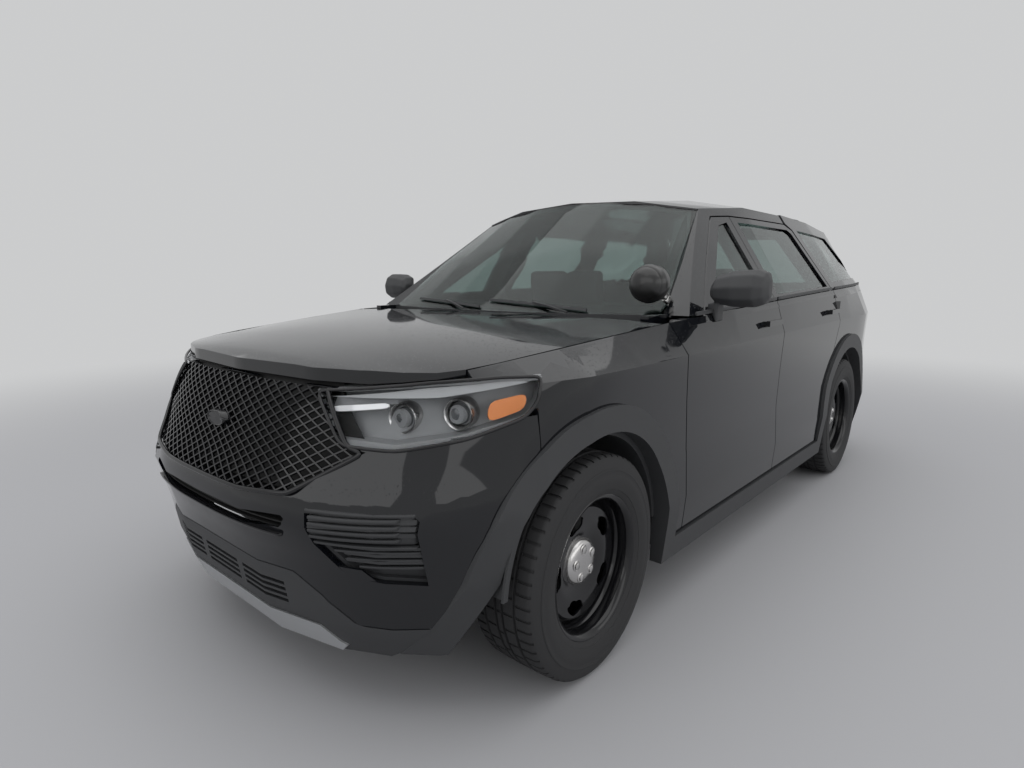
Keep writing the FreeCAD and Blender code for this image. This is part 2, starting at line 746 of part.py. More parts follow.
hood = hood_slab(None, 0).common(hood_prism(0, 900, 1400))
band = hood_slab(1030, 0).common(hood_prism(0, 1040, 1400)).cut(hood_prism(24, 900, 1400))
band = band.cut(box(0, 2150, -1000, 1000, 900, 1400))
lamp_room = [(s - 6 if s < -1200 else s, z + 6) for s, z in lamp_outline[:1] + lamp_outline[6:]]
lamp_room += [(lamp_outline[6][0] + 40, 900), (lamp_outline[0][0], 900)]
hood = hood.fuse(band).cut(both(corner_prism(sorted_ring(lamp_room))))
hood_hinge = V(1084, 0, 1112)
for y in (-600, 600):
    leaf = box(hood_hinge.x - 8, hood_hinge.x + 30, y - 5.7, y + 5.7, hood_hinge.z - 8, hood_hinge.z + 36)
    hood = hood.fuse(leaf).cut(Part.makeCylinder(5 + dim("hinge_play"), 40, V(hood_hinge.x, y - 20, hood_hinge.z), V(0, 1, 0)))
add_shape("hood", hood)


# Windscreen, roof and the fixed side structure
def screen_point(share, climb, depth):
    """Point of the windscreen; climb runs from base to top, share across."""
    s = abs(share) ** 2.0
    x = (1035 * (1 - s) + 905 * s) * (1 - climb) + (330 * (1 - s) + 225 * s) * climb
    z = (1165 * (1 - s) + 1158 * s) * (1 - climb) + (1712 * (1 - s) + 1640 * s) * climb
    out = 60 * climb * (1 - climb) - depth
    y = share * (816 * (1 - climb) + 645 * climb)
    return V(x + out * 0.6, y, z + out * 0.8)


def screen_block(d0, d1, reach=1.0, climbs=(0, 0.5, 1)):
    sections = []
    for share in (-1, -0.7, -0.35, 0, 0.35, 0.7, 1):
        outer = [screen_point(reach * share, climb, d0) for climb in climbs]
        inner = [screen_point(reach * share, climb, d1) for climb in reversed(climbs)]
        sections.append([outer[0], outer[1:], inner[0], inner[1:]])
    return loft(sections)


screen = screen_block(0, dim("screen_wall"))
roof_front_x = 330.0
roof_rear_x = -2080.0


def roof_section(x, depth, wall, reach=1.0):
    shares = (-1, -0.55, 0, 0.55, 1)
    rows = []
    for d in (depth, depth + wall):
        rise = roof_mid_z(x) - rail_z(x)
        rows.append([V(x, s * reach * rail_y(x), rail_z(x) + rise * (1 - abs(s) ** 2.4) - d) for s in shares])
    outer, inner = rows[0], rows[1][::-1]
    return [outer[0], outer[1:], inner[0], inner[1:]]


def roof_shell(x0, x1, depth, wall, reach=1.0):
    middle = [x for x in (-300, -1300) if x1 + 100 < x < x0 - 100]
    return loft([roof_section(x, depth, wall, reach) for x in [x0] + middle + [x1]])


roof_edge = [(330, 0), (310, 300), (268, 520), (225, 660), (-2400, 660), (-2400, -660), (225, -660), (268, -520), (310, -300)]
roof = roof_shell(roof_front_x, roof_rear_x, 0, dim("roof_wall")).common(plan_prism(roof_edge, 1000, 2000))
gate_pin = V(roof_rear_x - 12, 0, roof_mid_z(roof_rear_x) - 8)
for y in (-150, 150):
    for low in (y - 24, y + 6):
        roof = roof.fuse(box(gate_pin.x - 6, roof_rear_x + 10, low, low + 18, gate_pin.z - 6, gate_pin.z + 6))
    roof = roof.fuse(Part.makeCylinder(4, 48, V(gate_pin.x, y - 24, gate_pin.z), V(0, 1, 0)))
add_shape("roof_panel", roof)

frame_depth = 110
outer_ring = green_block((960, 300, -300, -1250), 0, frame_depth, 0.0)
outer_ring = outer_ring.cut(side_prism(front_door_wire, 300, FAR, slant, shut_gap))
outer_ring = outer_ring.cut(side_prism(rear_door_wire, 300, FAR, slant, shut_gap))
plate_hole_front = side_wire([(905, 400), (905, 1000), (780, 1180), (20, 1180), (20, 400)])
plate_hole_rear = side_wire([(-175, 400), (-175, 1180), (-1010, 1180), (-1010, 960), (-800, 640), (-800, 400)])
plate_y1 = plate_y
plate_y0 = plate_y - plate_wall
plate = box(-1180, 1062, plate_y0, plate_y1, 316, 1175)
plate = plate.cut(side_prism(plate_hole_front, 500, FAR)).cut(side_prism(plate_hole_rear, 500, FAR))
plate = plate.cut(side_prism(rear_arch_wire, 500, FAR))
sill = box(-865, 1036, plate_y0, 930, 250, 323)
plate = plate.cut(box(1038, 1100, 700, 900, 1040, 1300))
inner_ring = green_block((960, 300, -300, -1250), 76, frame_depth, 0.0)
inner_ring = inner_ring.fuse(box(-1180, 900, plate_y0, plate_y + 9, 1140, 1222))
ring_hole_front = side_wire(
    [
        (pillar_line(pillar_a_width + 80, 1150), 1150),
        (pillar_line(pillar_a_width + 80, 1585), 1585),
        (pillar_b_x + 20, 1600),
        (pillar_b_x + 20, 1150),
    ]
)
ring_hole_rear = side_wire([(pillar_b_x - 120, 1100), (pillar_b_x - 120, 1600), (-930, 1592), (-1085, 1240), (-1085, 1100)])
inner_ring = inner_ring.cut(side_prism(ring_hole_front, 300, FAR)).cut(side_prism(ring_hole_rear, 300, FAR))
pillar_edge = side_wire(
    [(905 + 80, 1100), (905, 1158), (225, 1640), (225, 1720), (-1125, 1720), (-1125, 1000), (985, 1000)]
)
rings = outer_ring.fuse(inner_ring).common(side_prism(pillar_edge, 300, FAR))
side_frame = plate.fuse(sill).fuse(rings)
for hinge_x in (front_hinge_x, rear_hinge_x):
    for z in hinge_heights:
        side_frame = side_frame.fuse(hinge_bracket(hinge_x, z, plate_y - 10))
side_frame = side_frame.cut(roof).cut(screen)


# Rear quarters
def gate_x(z):
    return smooth(
        z, [(640, -2512), (700, -2500), (1060, -2490), (1240, -2420), (1430, -2318), (1600, -2215), (1660, -2180)]
    )


def gate_half(z):
    low = 722.0
    if z < 1060:
        return low
    reach = [skin_y(gate_x(row) + gate_bow + shut_gap, row) - 70 for row in (1240, 1600)]
    return smooth(z, [(1060, low), (1240, reach[0]), (1600, reach[1]), (1660, reach[1] - 15)])


gate_bow = 118.0
gate_rows = (646, 700, 860, 1060, 1240, 1430, 1600, 1660)
def gate_block(z0, z1, depth, wall, grow=0.0):
    sections = []
    for z in sorted({z0, z1} | {z for z in gate_rows if z0 < z < z1}):
        half = gate_half(z) + grow
        outer = [V(gate_x(z) + gate_bow * abs(t) ** 3 + depth, t * half, z) for t in (-1, -0.6, 0, 0.6, 1)]
        inner = [V(p.x + wall, p.y, z) for p in reversed(outer)]
        sections.append([outer[0], outer[1:], inner[0], inner[1:]])
    return loft(sections, True)


quarter_stations = (-960, -1400, -1800, -2050, -2200, -2300, -2385)
quarter = loft([fender_section(x, sill_z - 3) for x in quarter_stations])
quarter = quarter.cut(side_prism(rear_trim_wire, 500, FAR))
quarter = quarter.cut(box(-3000, rear_axle - 200, 0, 1100, 0, 644))
green_rear = green_block((-930, -1500, -2000, -2395), 0, 60, -0.1)
quarter_window = [(-1210, 1262), (-1110, 1584), (-1900, 1556), (-2080, 1280)]
quarter_window_wire = side_wire(quarter_window)
green_rear = green_rear.cut(side_prism(quarter_window_wire, 300, FAR))
quarter = quarter.fuse(green_rear).fuse(box(-1180, -1100, plate_y - 4, skin_y(-1150, 1000) - 8, 900, 1150))
quarter = quarter.cut(side_prism(rear_door_wire, 300, FAR, slant, shut_gap))
rear_line = [(gate_x(z) + gate_bow + shut_gap, z) for z in gate_rows]
rear_cut = side_prism(side_wire(rear_line + [(-3000, 1660), (-3000, 646)]), 0, FAR)
roof_clear = roof_shell(roof_rear_x - 2, -2420, -8, 48, 1.1)
lamp_wire = side_wire([(-2130, 985), (-2070, 1120), (-2600, 1140), (-2600, 960)])
lamp_zone = side_prism(lamp_wire, 0, FAR)
tail_lamp = loft([lower_section(x, 900, body_y(x, 1000) - 60) for x in quarter_stations[2:]])
tail_lamp = tail_lamp.common(lamp_zone).cut(rear_cut).cut(gate_block(630, 1660, -200, 268, shut_gap + 2))
gate_room = gate_block(630, 1660, -200, 274, shut_gap + 5)
quarter = quarter.cut(lamp_zone).cut(rear_cut).cut(roof).cut(roof_clear).cut(gate_room)
quarter = max(quarter.Solids, key=lambda solid: solid.Volume)
side_frame = side_frame.cut(quarter).cut(side_prism(quarter_window_wire, 300, FAR))
add_pair("quarter_panels", quarter)
side_frame = max(side_frame.Solids, key=lambda solid: solid.Volume)
add_pair("side_frames", side_frame)
add_pair("tail_lamps", tail_lamp)
quarter_pane = green_block((-930, -1500, -2000, -2395), 10, 15, 0.0).common(side_prism(quarter_window_wire, 300, FAR))
add_shape("fixed_glass", Part.makeCompound([screen.cut(roof), quarter_pane, mirrored(quarter_pane)]))

# Rear bumper
tail_heights = (215, 330, 470, 560, 640)
tail_skin = end_shell(tail_heights, False, 0, bumper_wall)
rear_bumper = tail_skin.cut(both(side_prism(rear_trim_wire, 500, FAR))).common(box(-2600, rear_axle - 300, -1100, 1100, 215, 640))
for y in (-560, 560):
    tip = Part.makeCylinder(38, 120, V(-2520, y, 300), V(1, 0, 0)).cut(Part.makeCylinder(33, 110, V(-2521, y, 300), V(1, 0, 0)))
    rear_bumper = rear_bumper.cut(Part.makeCylinder(38, 200, V(-2600, y, 300), V(1, 0, 0))).fuse(tip)
add_shape("rear_bumper", rear_bumper)


# Liftgate
gate_window = doubled([(0, 1586), (480, 1566), (610, 1270), (570, 1240), (0, 1230)])
gate_low = gate_block(646, 1600, 0, 60).cut(front_prism(gate_window, -3000, -1800))
gate_low = gate_low.cut(box(-2462, -2300, -560, 560, 700, 1150))
spoiler = roof_shell(roof_rear_x - 12, -2300, 0, 30, 0.97).common(box(-2305, -2080, -560, 560, 1500, 1800))
gate = fused(gate_low, spoiler, box(-2230, -2110, -500, 500, 1590, 1640))
gate = gate.cut(box(roof_rear_x - shut_gap, -1900, -900, 900, 1500, 1800))
gate = gate.cut(box(-2600, -2470, -170, 170, 830, 960))
for y in (-88.9, 88.9):
    gate = gate.cut(Part.makeCylinder(3, 60, V(-2500, y, 895), V(1, 0, 0)))
gate_hinge = gate_pin
for y in (-150, 150):
    leaf = box(gate_hinge.x - 40, gate_hinge.x + 7, y - 5.7, y + 5.7, gate_hinge.z - 7, gate_hinge.z + 6)
    gate = gate.cut(box(gate_hinge.x - 24, gate_hinge.x + 30, y - 34, y + 34, 1600, 1900)).fuse(leaf)
    gate = gate.cut(Part.makeCylinder(4 + dim("hinge_play"), 14, V(gate_hinge.x, y - 7, gate_hinge.z), V(0, 1, 0)))
add_shape("tailgate", max(gate.Solids, key=lambda solid: solid.Volume))
gate_pane = gate_block(1200, 1600, 10, 6).common(front_prism(gate_window, -3000, -1800))
add_shape("tailgate_glass", gate_pane)

# Wheel arches with liners, and the rocker cladding
def trim_section(x, low=215.0):
    """Closed section of the moulding band, proud of the skin."""
    side = [V(x, body_y(x, z) + trim_stand, z) for z in (low,) + SIDE_ROWS]
    inner_y = min(p.y for p in side) - 45
    return side + [V(x, inner_y, crease_z), V(x, inner_y, low)]


trim_mass = loft([trim_section(x) for x in (-1000, 1200)])
front_mass = loft([trim_section(x) for x in (1000, 1500, 1700, 1900, 2050, 2160, 2250)])
rear_mass = loft([trim_section(x) for x in (-800, -1300, -1700, -1900, -2060)])


def arch_trim(mass, outer_wire, inner_wire, x0, x1):
    ring = mass.common(side_prism(outer_wire, 500, FAR)).cut(side_prism(inner_wire, 500, FAR))
    return ring.common(box(x0, x1, 0, 1200, rocker_z, 1000))


front_trim = arch_trim(front_mass, front_trim_wire, front_arch_wire, 1040, 2300)
rear_trim = arch_trim(rear_mass, rear_trim_wire, rear_arch_wire, -2100, -850)
rocker = trim_mass.common(box(rear_axle + arch_radius + 1, front_axle - arch_radius - 1, 0, 1200, rocker_z, 323))
rocker = rocker.cut(box(-2000, 2000, 0, 930, 245, 400))


def liner(axle, y0, y1):
    radius = 440
    tube = Part.makeCylinder(radius + 7, y1 - y0, V(axle, y0, tyre_radius), V(0, 1, 0))
    tube = tube.cut(Part.makeCylinder(radius, y1 - y0, V(axle, y0, tyre_radius), V(0, 1, 0)))
    lip = Part.makeCylinder(arch_radius + 1, 8, V(axle, y1 - 8, tyre_radius), V(0, 1, 0))
    lip = lip.cut(Part.makeCylinder(radius, 8, V(axle, y1 - 8, tyre_radius), V(0, 1, 0)))
    return tube.fuse(lip).common(box(axle - 600, axle + 600, 0, 1200, tyre_radius + 40, 2000))


front_liner = liner(front_axle, 560, 932)
rear_liner = liner(rear_axle, 690, 925)
cladding = fused(front_trim, rear_trim, rocker, front_liner, rear_liner)
add_pair("wheel_arches", cladding)

# Floor, firewall and rails
floor_y = plate_y0
wall = dim("floor_wall")
floor_top = dim("floor_top")
cargo_z = dim("cargo_floor")
floor = box(-1000, 1040, -floor_y, floor_y, floor_top - wall, floor_top)
kick = box(-1000, -1000 + wall, -floor_y, floor_y, floor_top - wall, cargo_z)
cargo = box(-2330, -1000 + wall, -680, 680, cargo_z - wall, cargo_z)
firewall = box(1006, 1040, -floor_y, floor_y, floor_top - wall, 1050)
rails = [box(1040, 2290, y - 35, y + 35, 470, 590) for y in (-465, 465)]
aprons = [box(1040, 2060, y - 40, y + 40, 880, 940) for y in (-700, 700)]
rear_wall = box(-2340, -2300, -700, 700, 400, cargo_z)
tunnel = box(-900, 1006, -130, 130, floor_top, floor_top + 90)
cross = box(2230, 2290, -650, 650, 560, 640)
floor_pan = fused(floor, kick, cargo, firewall, rear_wall, tunnel, cross, *rails, *aprons)
floor_pan = floor_pan.cut(both(Part.makeCylinder(449, 200, V(rear_axle, 682, tyre_radius), V(0, 1, 0))))
add_shape("floor_pan", floor_pan)

# Cowl and dashboard
def padded_profile(name, outline, width_alias):
    """PartDesign body: a side profile (x, z) padded to both sides by a width from the sheet."""
    body = doc.addObject("PartDesign::Body", name)
    sketch = body.newObject("Sketcher::SketchObject", name + "_profile")
    sketch.AttachmentSupport = ([f for f in body.Origin.OriginFeatures if f.Role == "XZ_Plane"][0], [""])
    sketch.MapMode = "FlatFace"
    for (x0, z0), (x1, z1) in zip(outline, outline[1:] + outline[:1]):
        sketch.addGeometry(Part.LineSegment(V(x0, z0, 0), V(x1, z1, 0)), False)
    for i in range(len(outline)):
        sketch.addConstraint(Sketcher.Constraint("Coincident", i, 2, (i + 1) % len(outline), 1))
    pad = body.newObject("PartDesign::Pad", name + "_pad")
    pad.Profile = sketch
    pad.SideType = "Symmetric"
    pad.setExpression("Length", "dims." + width_alias)
    return body


base_line = [screen_point(share, 0, 0) for share in (0, 0.3, 0.6, 0.8, 0.955)]
lip_line = [(p.x + 12, p.y) for p in base_line]
lip_plan = [(880, 0)] + lip_line + [(880, lip_line[-1][1])]
lip_plan = lip_line + [(880, lip_line[-1][1]), (880, -lip_line[-1][1])] + [(x, -y) for x, y in reversed(lip_line[1:])]
cowl = plan_prism(lip_plan, 1050, 1172).cut(screen_block(-60, dim("screen_wall") + 0.05))
cowl = cowl.fuse(box(900, 1150, -779, 779, 1050, 1082))
dash_outline = [(660, 880), (624, 930), (632, 1020), (668, 1064), (730, 1104), (820, 1112), (905, 1098), (1006, 1084), (1006, 940),
                (880, 900)]
dash_body = padded_profile("dash", dash_outline, "dash_width")
doc.recompute()
dash = dash_body.Shape
cowl = cowl.fuse(dash)
for y in (-600, 600):
    for low in (y - 26, y + 6):
        cowl = cowl.fuse(box(hood_hinge.x - 14, hood_hinge.x + 14, low, low + 20, 1070, hood_hinge.z + 8))
    cowl = cowl.fuse(Part.makeCylinder(5, 50, V(hood_hinge.x, y - 25, hood_hinge.z), V(0, 1, 0)))
hub_at = V(430, 370, 1010)
tilt = math.radians(24)
column = V(-math.cos(tilt), 0, math.sin(tilt))
cowl = cowl.cut(Part.makeCylinder(14 + dim("hinge_play"), 262, hub_at - column * 262, column))
add_shape("cowl_dash", max(cowl.Solids, key=lambda solid: solid.Volume))


# Seats: side profiles padded to their width
seat_outline = [(-30, 0), (60, 30), (420, 40), (446, 90), (430, 138), (330, 150), (60, 122), (10, 140), (-84, 560), (-92, 640),
                (-84, 660), (-70, 740), (-78, 800), (-128, 806), (-160, 780), (-158, 640), (-190, 600), (-170, 380), (-110, 60)]
bench_outline = [(-20, 20), (60, 0), (420, 10), (446, 70), (430, 120), (60, 100), (10, 112), (-60, 480), (-76, 640), (-124, 652),
                 (-146, 600), (-112, 100)]
front_seat = padded_profile("front_seat", seat_outline, "seat_width")
front_seat.Placement = FreeCAD.Placement(V(-120, 400, floor_top + 200), FreeCAD.Rotation())
front_foot = doc.addObject("Part::Box", "seat_foot")
front_foot.Length = 340
front_foot.setExpression("Width", "dims.seat_width - 90")
front_foot.setExpression("Height", "560 - dims.floor_top - 130")
front_foot.Placement = FreeCAD.Placement(V(-80, 400 - dim("seat_width") / 2 + 45, floor_top), FreeCAD.Rotation())
left_seat = doc.addObject("Part::MultiFuse", "left_seat")
left_seat.Shapes = [front_seat, front_foot]
right_seat = doc.addObject("Part::Mirroring", "right_seat")
right_seat.Source = left_seat
right_seat.Normal = V(0, 1, 0)
rear_seat = padded_profile("rear_bench", bench_outline, "rear_seat_width")
rear_seat.Placement = FreeCAD.Placement(V(-850, 0, cargo_z - 20), FreeCAD.Rotation())
bench_foot = doc.addObject("Part::Box", "bench_foot")
bench_foot.Length = 330
bench_foot.setExpression("Width", "dims.rear_seat_width / 2 - 180")
bench_foot.setExpression("Height", "dims.cargo_floor - dims.floor_top - 10")
bench_foot.Placement = FreeCAD.Placement(V(-800, 140, floor_top), FreeCAD.Rotation())
other_foot = doc.addObject("Part::Mirroring", "other_foot")
other_foot.Source = bench_foot
other_foot.Normal = V(0, 1, 0)
bench = doc.addObject("Part::MultiFuse", "bench")
bench.Shapes = [rear_seat, bench_foot, other_foot]
seats = doc.addObject("Part::Compound", "seats")
seats.Label = "seats"
seats.Links = [left_seat, right_seat, bench]
SUBPARTS.append(seats)
engine = doc.addObject("Part::Box", "engine_block")
engine.Label = "engine_block"
engine.setExpression("Length", "dims.engine_length")
engine.setExpression("Width", "dims.engine_width")
engine.setExpression("Height", "dims.engine_height")
engine.Placement = FreeCAD.Placement(V(1250, -dim("engine_width") / 2, 430), FreeCAD.Rotation())
SUBPARTS.append(engine)

# Running gear
kingpin_y = 770.0
wheel_y = dim("track_width") / 2
spindle_r = 30.0
front_cross = fused(
    box(1380, 1830, -430, 430, 330, 400),
    box(1380, 1440, 395, 465, 330, 470),
    box(1770, 1830, 395, 465, 330, 470),
    box(1380, 1440, -465, -395, 330, 470),
    box(1770, 1830, -465, -395, 330, 470),
    box(1300, 1860, -330, 330, 400, 430),
)
lower_arm = fused(
    box(front_axle - 30, front_axle + 30, 400, kingpin_y, 236, 266),
    Part.makeCylinder(30, 30, V(front_axle, kingpin_y, 236)),
    box(front_axle - 40, front_axle + 40, 380, 440, 236, 400),
)
strut = Part.makeCylinder(45, 330, V(front_axle, kingpin_y - 100, 600)).fuse(box(front_axle - 45, front_axle + 45, kingpin_y - 140, kingpin_y - 55, 860, 940))
front_cross = front_cross.fuse([lower_arm, mirrored(lower_arm)])
pivot_play = Part.makeCylinder(14 + dim("hinge_play"), 60, V(front_axle, kingpin_y, 226))
front_cross = front_cross.cut(pivot_play).cut(mirrored(pivot_play))
add_shape("front_subframe", front_cross)
knuckle = fused(
    box(front_axle - 60, front_axle + 60, kingpin_y - 26, kingpin_y + 26, 272, 520),
    Part.makeCylinder(14, 50, V(front_axle, kingpin_y, 226)),
    Part.makeCylinder(spindle_r, 90, V(front_axle, kingpin_y + 20, tyre_radius), V(0, 1, 0)),
)
add_sided("knuckle", knuckle)
rear_beam = fused(
    box(rear_axle - 160, rear_axle + 200, -460, 460, 330, 420),
    box(rear_axle - 50, rear_axle + 50, -735, 735, 345, 420),
    box(rear_axle - 60, rear_axle + 60, 660, 745, 300, 480),
    box(rear_axle - 60, rear_axle + 60, -745, -660, 300, 480),
    box(rear_axle + 120, rear_axle + 200, 300, 400, 400, 606),
    box(rear_axle + 120, rear_axle + 200, -400, -300, 400, 606),
    Part.makeCylinder(spindle_r, 148, V(rear_axle, kingpin_y - 38, tyre_radius), V(0, 1, 0)),
    Part.makeCylinder(spindle_r, 148, V(rear_axle, 38 - kingpin_y, tyre_radius), V(0, -1, 0)),
)
add_shape("rear_suspension", rear_beam)


def turned(profile, steps):
    """Solid turned about the Y axis from a closed profile (y, radius), in flat steps that stand on a flat."""
    rings = []
    for k in range(steps + 1):
        turn = 2 * math.pi * (k + 0.5) / steps
        reach = 1 / math.cos(math.pi / steps)
        rings.append([V(r * reach * math.sin(turn), a, r * reach * math.cos(turn)) for a, r in profile])
    faces = []
    for here, there in zip(rings, rings[1:]):
        for i in range(len(profile)):
            j = (i + 1) % len(profile)
            corners = [here[i], here[j], there[j], there[i]]
            ring = [p for p, q in zip(corners, corners[1:] + corners[:1]) if p.distanceToPoint(q) > 1e-6]
            if len(ring) > 2:
                faces.append(Part.Face(Part.makePolygon(ring + ring[:1])))
    solid = Part.Solid(Part.Shell(faces))
    if solid.Volume < 0:
        solid.reverse()
    return solid


def at_axle(shape, axle, y):
    moved = shape.copy()
    moved.translate(V(axle, y, tyre_radius))
    return moved


def tyre_shape():
    """Tyre seated on the rim, bulging over its flanges to a rounded shoulder."""
    half = dim("tyre_width") / 2
    tread = dim("tread_width") / 2
    seat = dim("rim_half_width") - 8.5
    r0 = dim("bead_radius") + 0.3
    rim = dim("rim_flange_radius") + 2
    profile = [(-seat, r0), (-seat, rim), (-half, 292), (-half + 5, 345), (-tread, tyre_radius - 4), (-tread + 16, tyre_radius)]
    profile += [(-y, r) for y, r in reversed(profile)]
    return turned(profile, steps)


def wheel_shape():
    """Steel wheel: rim, crowned disc with five openings, hub on the spindle, brake rotor and capped lugs."""
    half = dim("rim_half_width")
    r0 = dim("bead_radius")
    flange = dim("rim_flange_radius")
    inner = r0 - dim("rim_wall")
    rim = turned(
        [(-half, flange), (8 - half, flange), (8 - half, r0), (half - 8, r0), (half - 8, flange), (half, flange),
         (half, flange - 9), (half - 14, inner), (-half, inner)],
        steps,
    )
    face = dim("disc_offset")
    thick = dim("disc_wall")
    crown = [(face - 28, inner + 1), (face + 10, 168), (face + 16, 140), (face, 96), (face - 4, 58)]
    profile = crown + [(face - 4, 0), (face - 4 - thick, 0)] + [(y - thick, r) for y, r in reversed(crown)]
    disc = turned(profile, steps)
    window = Part.makePolygon([V(a, 0, 178 + b) for a, b in ((-30, 0), (-22, 15), (0, 20), (22, 15), (30, 0), (20, -17), (0, -22), (-20, -17), (-30, 0))])
    for k in range(5):
        hole = Part.Face(window).extrude(V(0, 90, 0))
        hole.rotate(V(0, 0, 0), V(0, 1, 0), 72 * k)
        disc = disc.cut(hole)
    hub = Part.makeCylinder(60, 70, V(0, face - 80, 0), V(0, 1, 0))
    hub = hub.fuse(Part.makeCylinder(dim("brake_radius"), dim("brake_wall"), V(0, face - 80, 0), V(0, 1, 0)))
    hub = hub.cut(Part.makeCylinder(spindle_r + 0.06, 66, V(0, face - 80, 0), V(0, 1, 0)))
    cap = turned([(face - 6, 0), (face + 22, 0), (face + 18, 40), (face + 6, 60), (face - 6, dim("cap_radius"))], 20)
    for k in range(5):
        lug = Part.makeCylinder(13, 40, V(0, face - 8, 42), V(0, 1, 0))
        lug.rotate(V(0, 0, 0), V(0, 1, 0), 72 * k + 36)
        cap = cap.fuse(lug)
    return fused(rim, disc, hub, cap)


steps = int(dim("turned_steps"))
tyre = tyre_shape()
wheel = wheel_shape()
for name, axle in (("front", front_axle), ("rear", rear_axle)):
    add_sided("tyre_" + name, at_axle(tyre, axle, wheel_y))
    add_sided("wheel_" + name, at_axle(wheel, axle, wheel_y))

# Steering wheel, pillar spotlight and wipers
grip_r = dim("wheel_ring_radius")
grip = turned([(-13, grip_r), (-9, grip_r - 12), (9, grip_r - 12), (13, grip_r), (9, grip_r + 12), (-9, grip_r + 12)], 24)
grip.rotate(V(0, 0, 0), V(0, 0, 1), -90)
spokes = fused(box(-10, 10, -grip_r, grip_r, -14, 14), box(-10, 10, -14, 14, -grip_r, 0), box(-26, 14, -70, 70, -50, 50))
ring = grip.fuse(spokes)
ring.rotate(V(0, 0, 0), V(0, 1, 0), 24)
ring.translate(hub_at)
shaft = Part.makeCylinder(14, 250, hub_at - column * 260, column)
add_shape("steering_wheel", ring.fuse(shaft))
spot_at = V(930, 770, 1298)
spot_r = dim("spot_radius")
bowl = [(0.62, 0), (0.62, 0.80), (0.5, 0.93), (0.2, 1.0), (-0.25, 0.95), (-0.65, 0.74), (-0.92, 0.38), (-1.0, 0)]
outline = Part.makePolygon([V(spot_r * r, spot_r * a, 0) for a, r in bowl + bowl[:1]])
ball = Part.Face(outline).revolve(V(0, 0, 0), V(0, 1, 0), 360)
ball.rotate(V(0, 0, 0), V(0, 0, 1), -90)
ball.translate(spot_at)
way = V(806, 812, 1214) - spot_at
way.normalize()
across = way.cross(V(0, 0, 1))
across.normalize()
up = across.cross(way)
root = spot_at + way * (spot_r / 2)
hexagon = [root + across * 9 * math.cos(k * math.pi / 3) + up * 9 * math.sin(k * math.pi / 3) for k in range(6)]
stem = Part.Face(Part.makePolygon(hexagon + hexagon[:1])).extrude(way * 118)
add_shape("spotlight", ball.fuse(stem.cut(side_prism(pillar_edge, 300, FAR))))


def wiper(share_a, share_b, pivot):
    """Blade along the foot of the windscreen with its arm, lying on the glass."""
    a = screen_point(share_a, 0.03, -0.3)
    b = screen_point(share_b, 0.085, -0.3)
    c = screen_point((share_a + share_b) / 2, 0.062, -0.3)
    rise = V(-0.4, 0, 0.9)
    blade = loft([[p, p + V(9, 0, 2), p + V(9, 0, 2) + rise * 12, p + rise * 12] for p in (a, c, b)])
    root = screen_point(pivot, 0.012, -2)
    arm = loft([[p, p + V(12, 0, 0), p + V(12, 0, 8), p + V(0, 0, 8)] for p in (root, (root + c) * 0.5 + V(4, 0, 9), c + rise * 10)])
    return blade.fuse(arm)


wipers = [wiper(0.62, -0.04, 0.52), wiper(-0.08, -0.74, -0.2)]
add_shape("wipers", Part.makeCompound([part.cut(screen).cut(cowl) for part in wipers]))

os.makedirs("parts", exist_ok=True)
doc.recompute()
bad = []
for part in SUBPARTS:
    shape = part.Shape
    if shape.isNull() or not shape.isValid():
        bad.append(part.Label)
    shape.exportStep("parts/%s.step" % part.Label)
if bad:
    raise RuntimeError("bad shapes: " + ", ".join(bad))
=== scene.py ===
# %% [markdown]
# The patrol car comes in from the imported CAD model as a fixed frame. Every CAD piece keeps its place here.
# This first cell loads it and hangs each piece under the body that it moves with.

# %% Load the frame
import json
import math

import bmesh
import bpy
from mathutils import Matrix, Vector

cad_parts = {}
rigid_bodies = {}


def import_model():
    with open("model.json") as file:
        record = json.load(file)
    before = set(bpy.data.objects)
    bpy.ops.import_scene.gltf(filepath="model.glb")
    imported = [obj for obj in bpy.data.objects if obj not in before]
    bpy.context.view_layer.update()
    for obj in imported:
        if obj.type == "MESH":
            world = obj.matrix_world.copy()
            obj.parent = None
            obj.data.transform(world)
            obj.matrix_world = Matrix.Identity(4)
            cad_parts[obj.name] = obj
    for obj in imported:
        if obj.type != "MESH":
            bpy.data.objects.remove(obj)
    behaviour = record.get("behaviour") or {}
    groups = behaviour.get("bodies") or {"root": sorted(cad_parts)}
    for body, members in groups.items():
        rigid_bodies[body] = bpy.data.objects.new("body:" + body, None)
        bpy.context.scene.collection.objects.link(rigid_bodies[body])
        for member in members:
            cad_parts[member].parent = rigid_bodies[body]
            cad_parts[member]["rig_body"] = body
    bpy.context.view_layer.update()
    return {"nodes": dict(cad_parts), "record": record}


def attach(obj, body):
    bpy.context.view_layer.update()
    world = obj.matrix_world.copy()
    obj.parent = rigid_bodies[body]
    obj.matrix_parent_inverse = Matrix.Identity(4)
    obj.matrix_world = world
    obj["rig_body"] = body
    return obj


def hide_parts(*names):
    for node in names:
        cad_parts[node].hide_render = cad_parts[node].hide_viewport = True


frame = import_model()
nodes = frame["nodes"]


def placed(name, data):
    """New object in the scene, at the origin."""
    piece = bpy.data.objects.new(name, data)
    bpy.context.scene.collection.objects.link(piece)
    return piece


# %% [markdown]
# The body panels are one flowing skin, cut into doors, fenders and bumpers. The same few curves that shaped
# the CAD model are written again in metres, because the paint and the trim pieces both have to follow that
# skin.

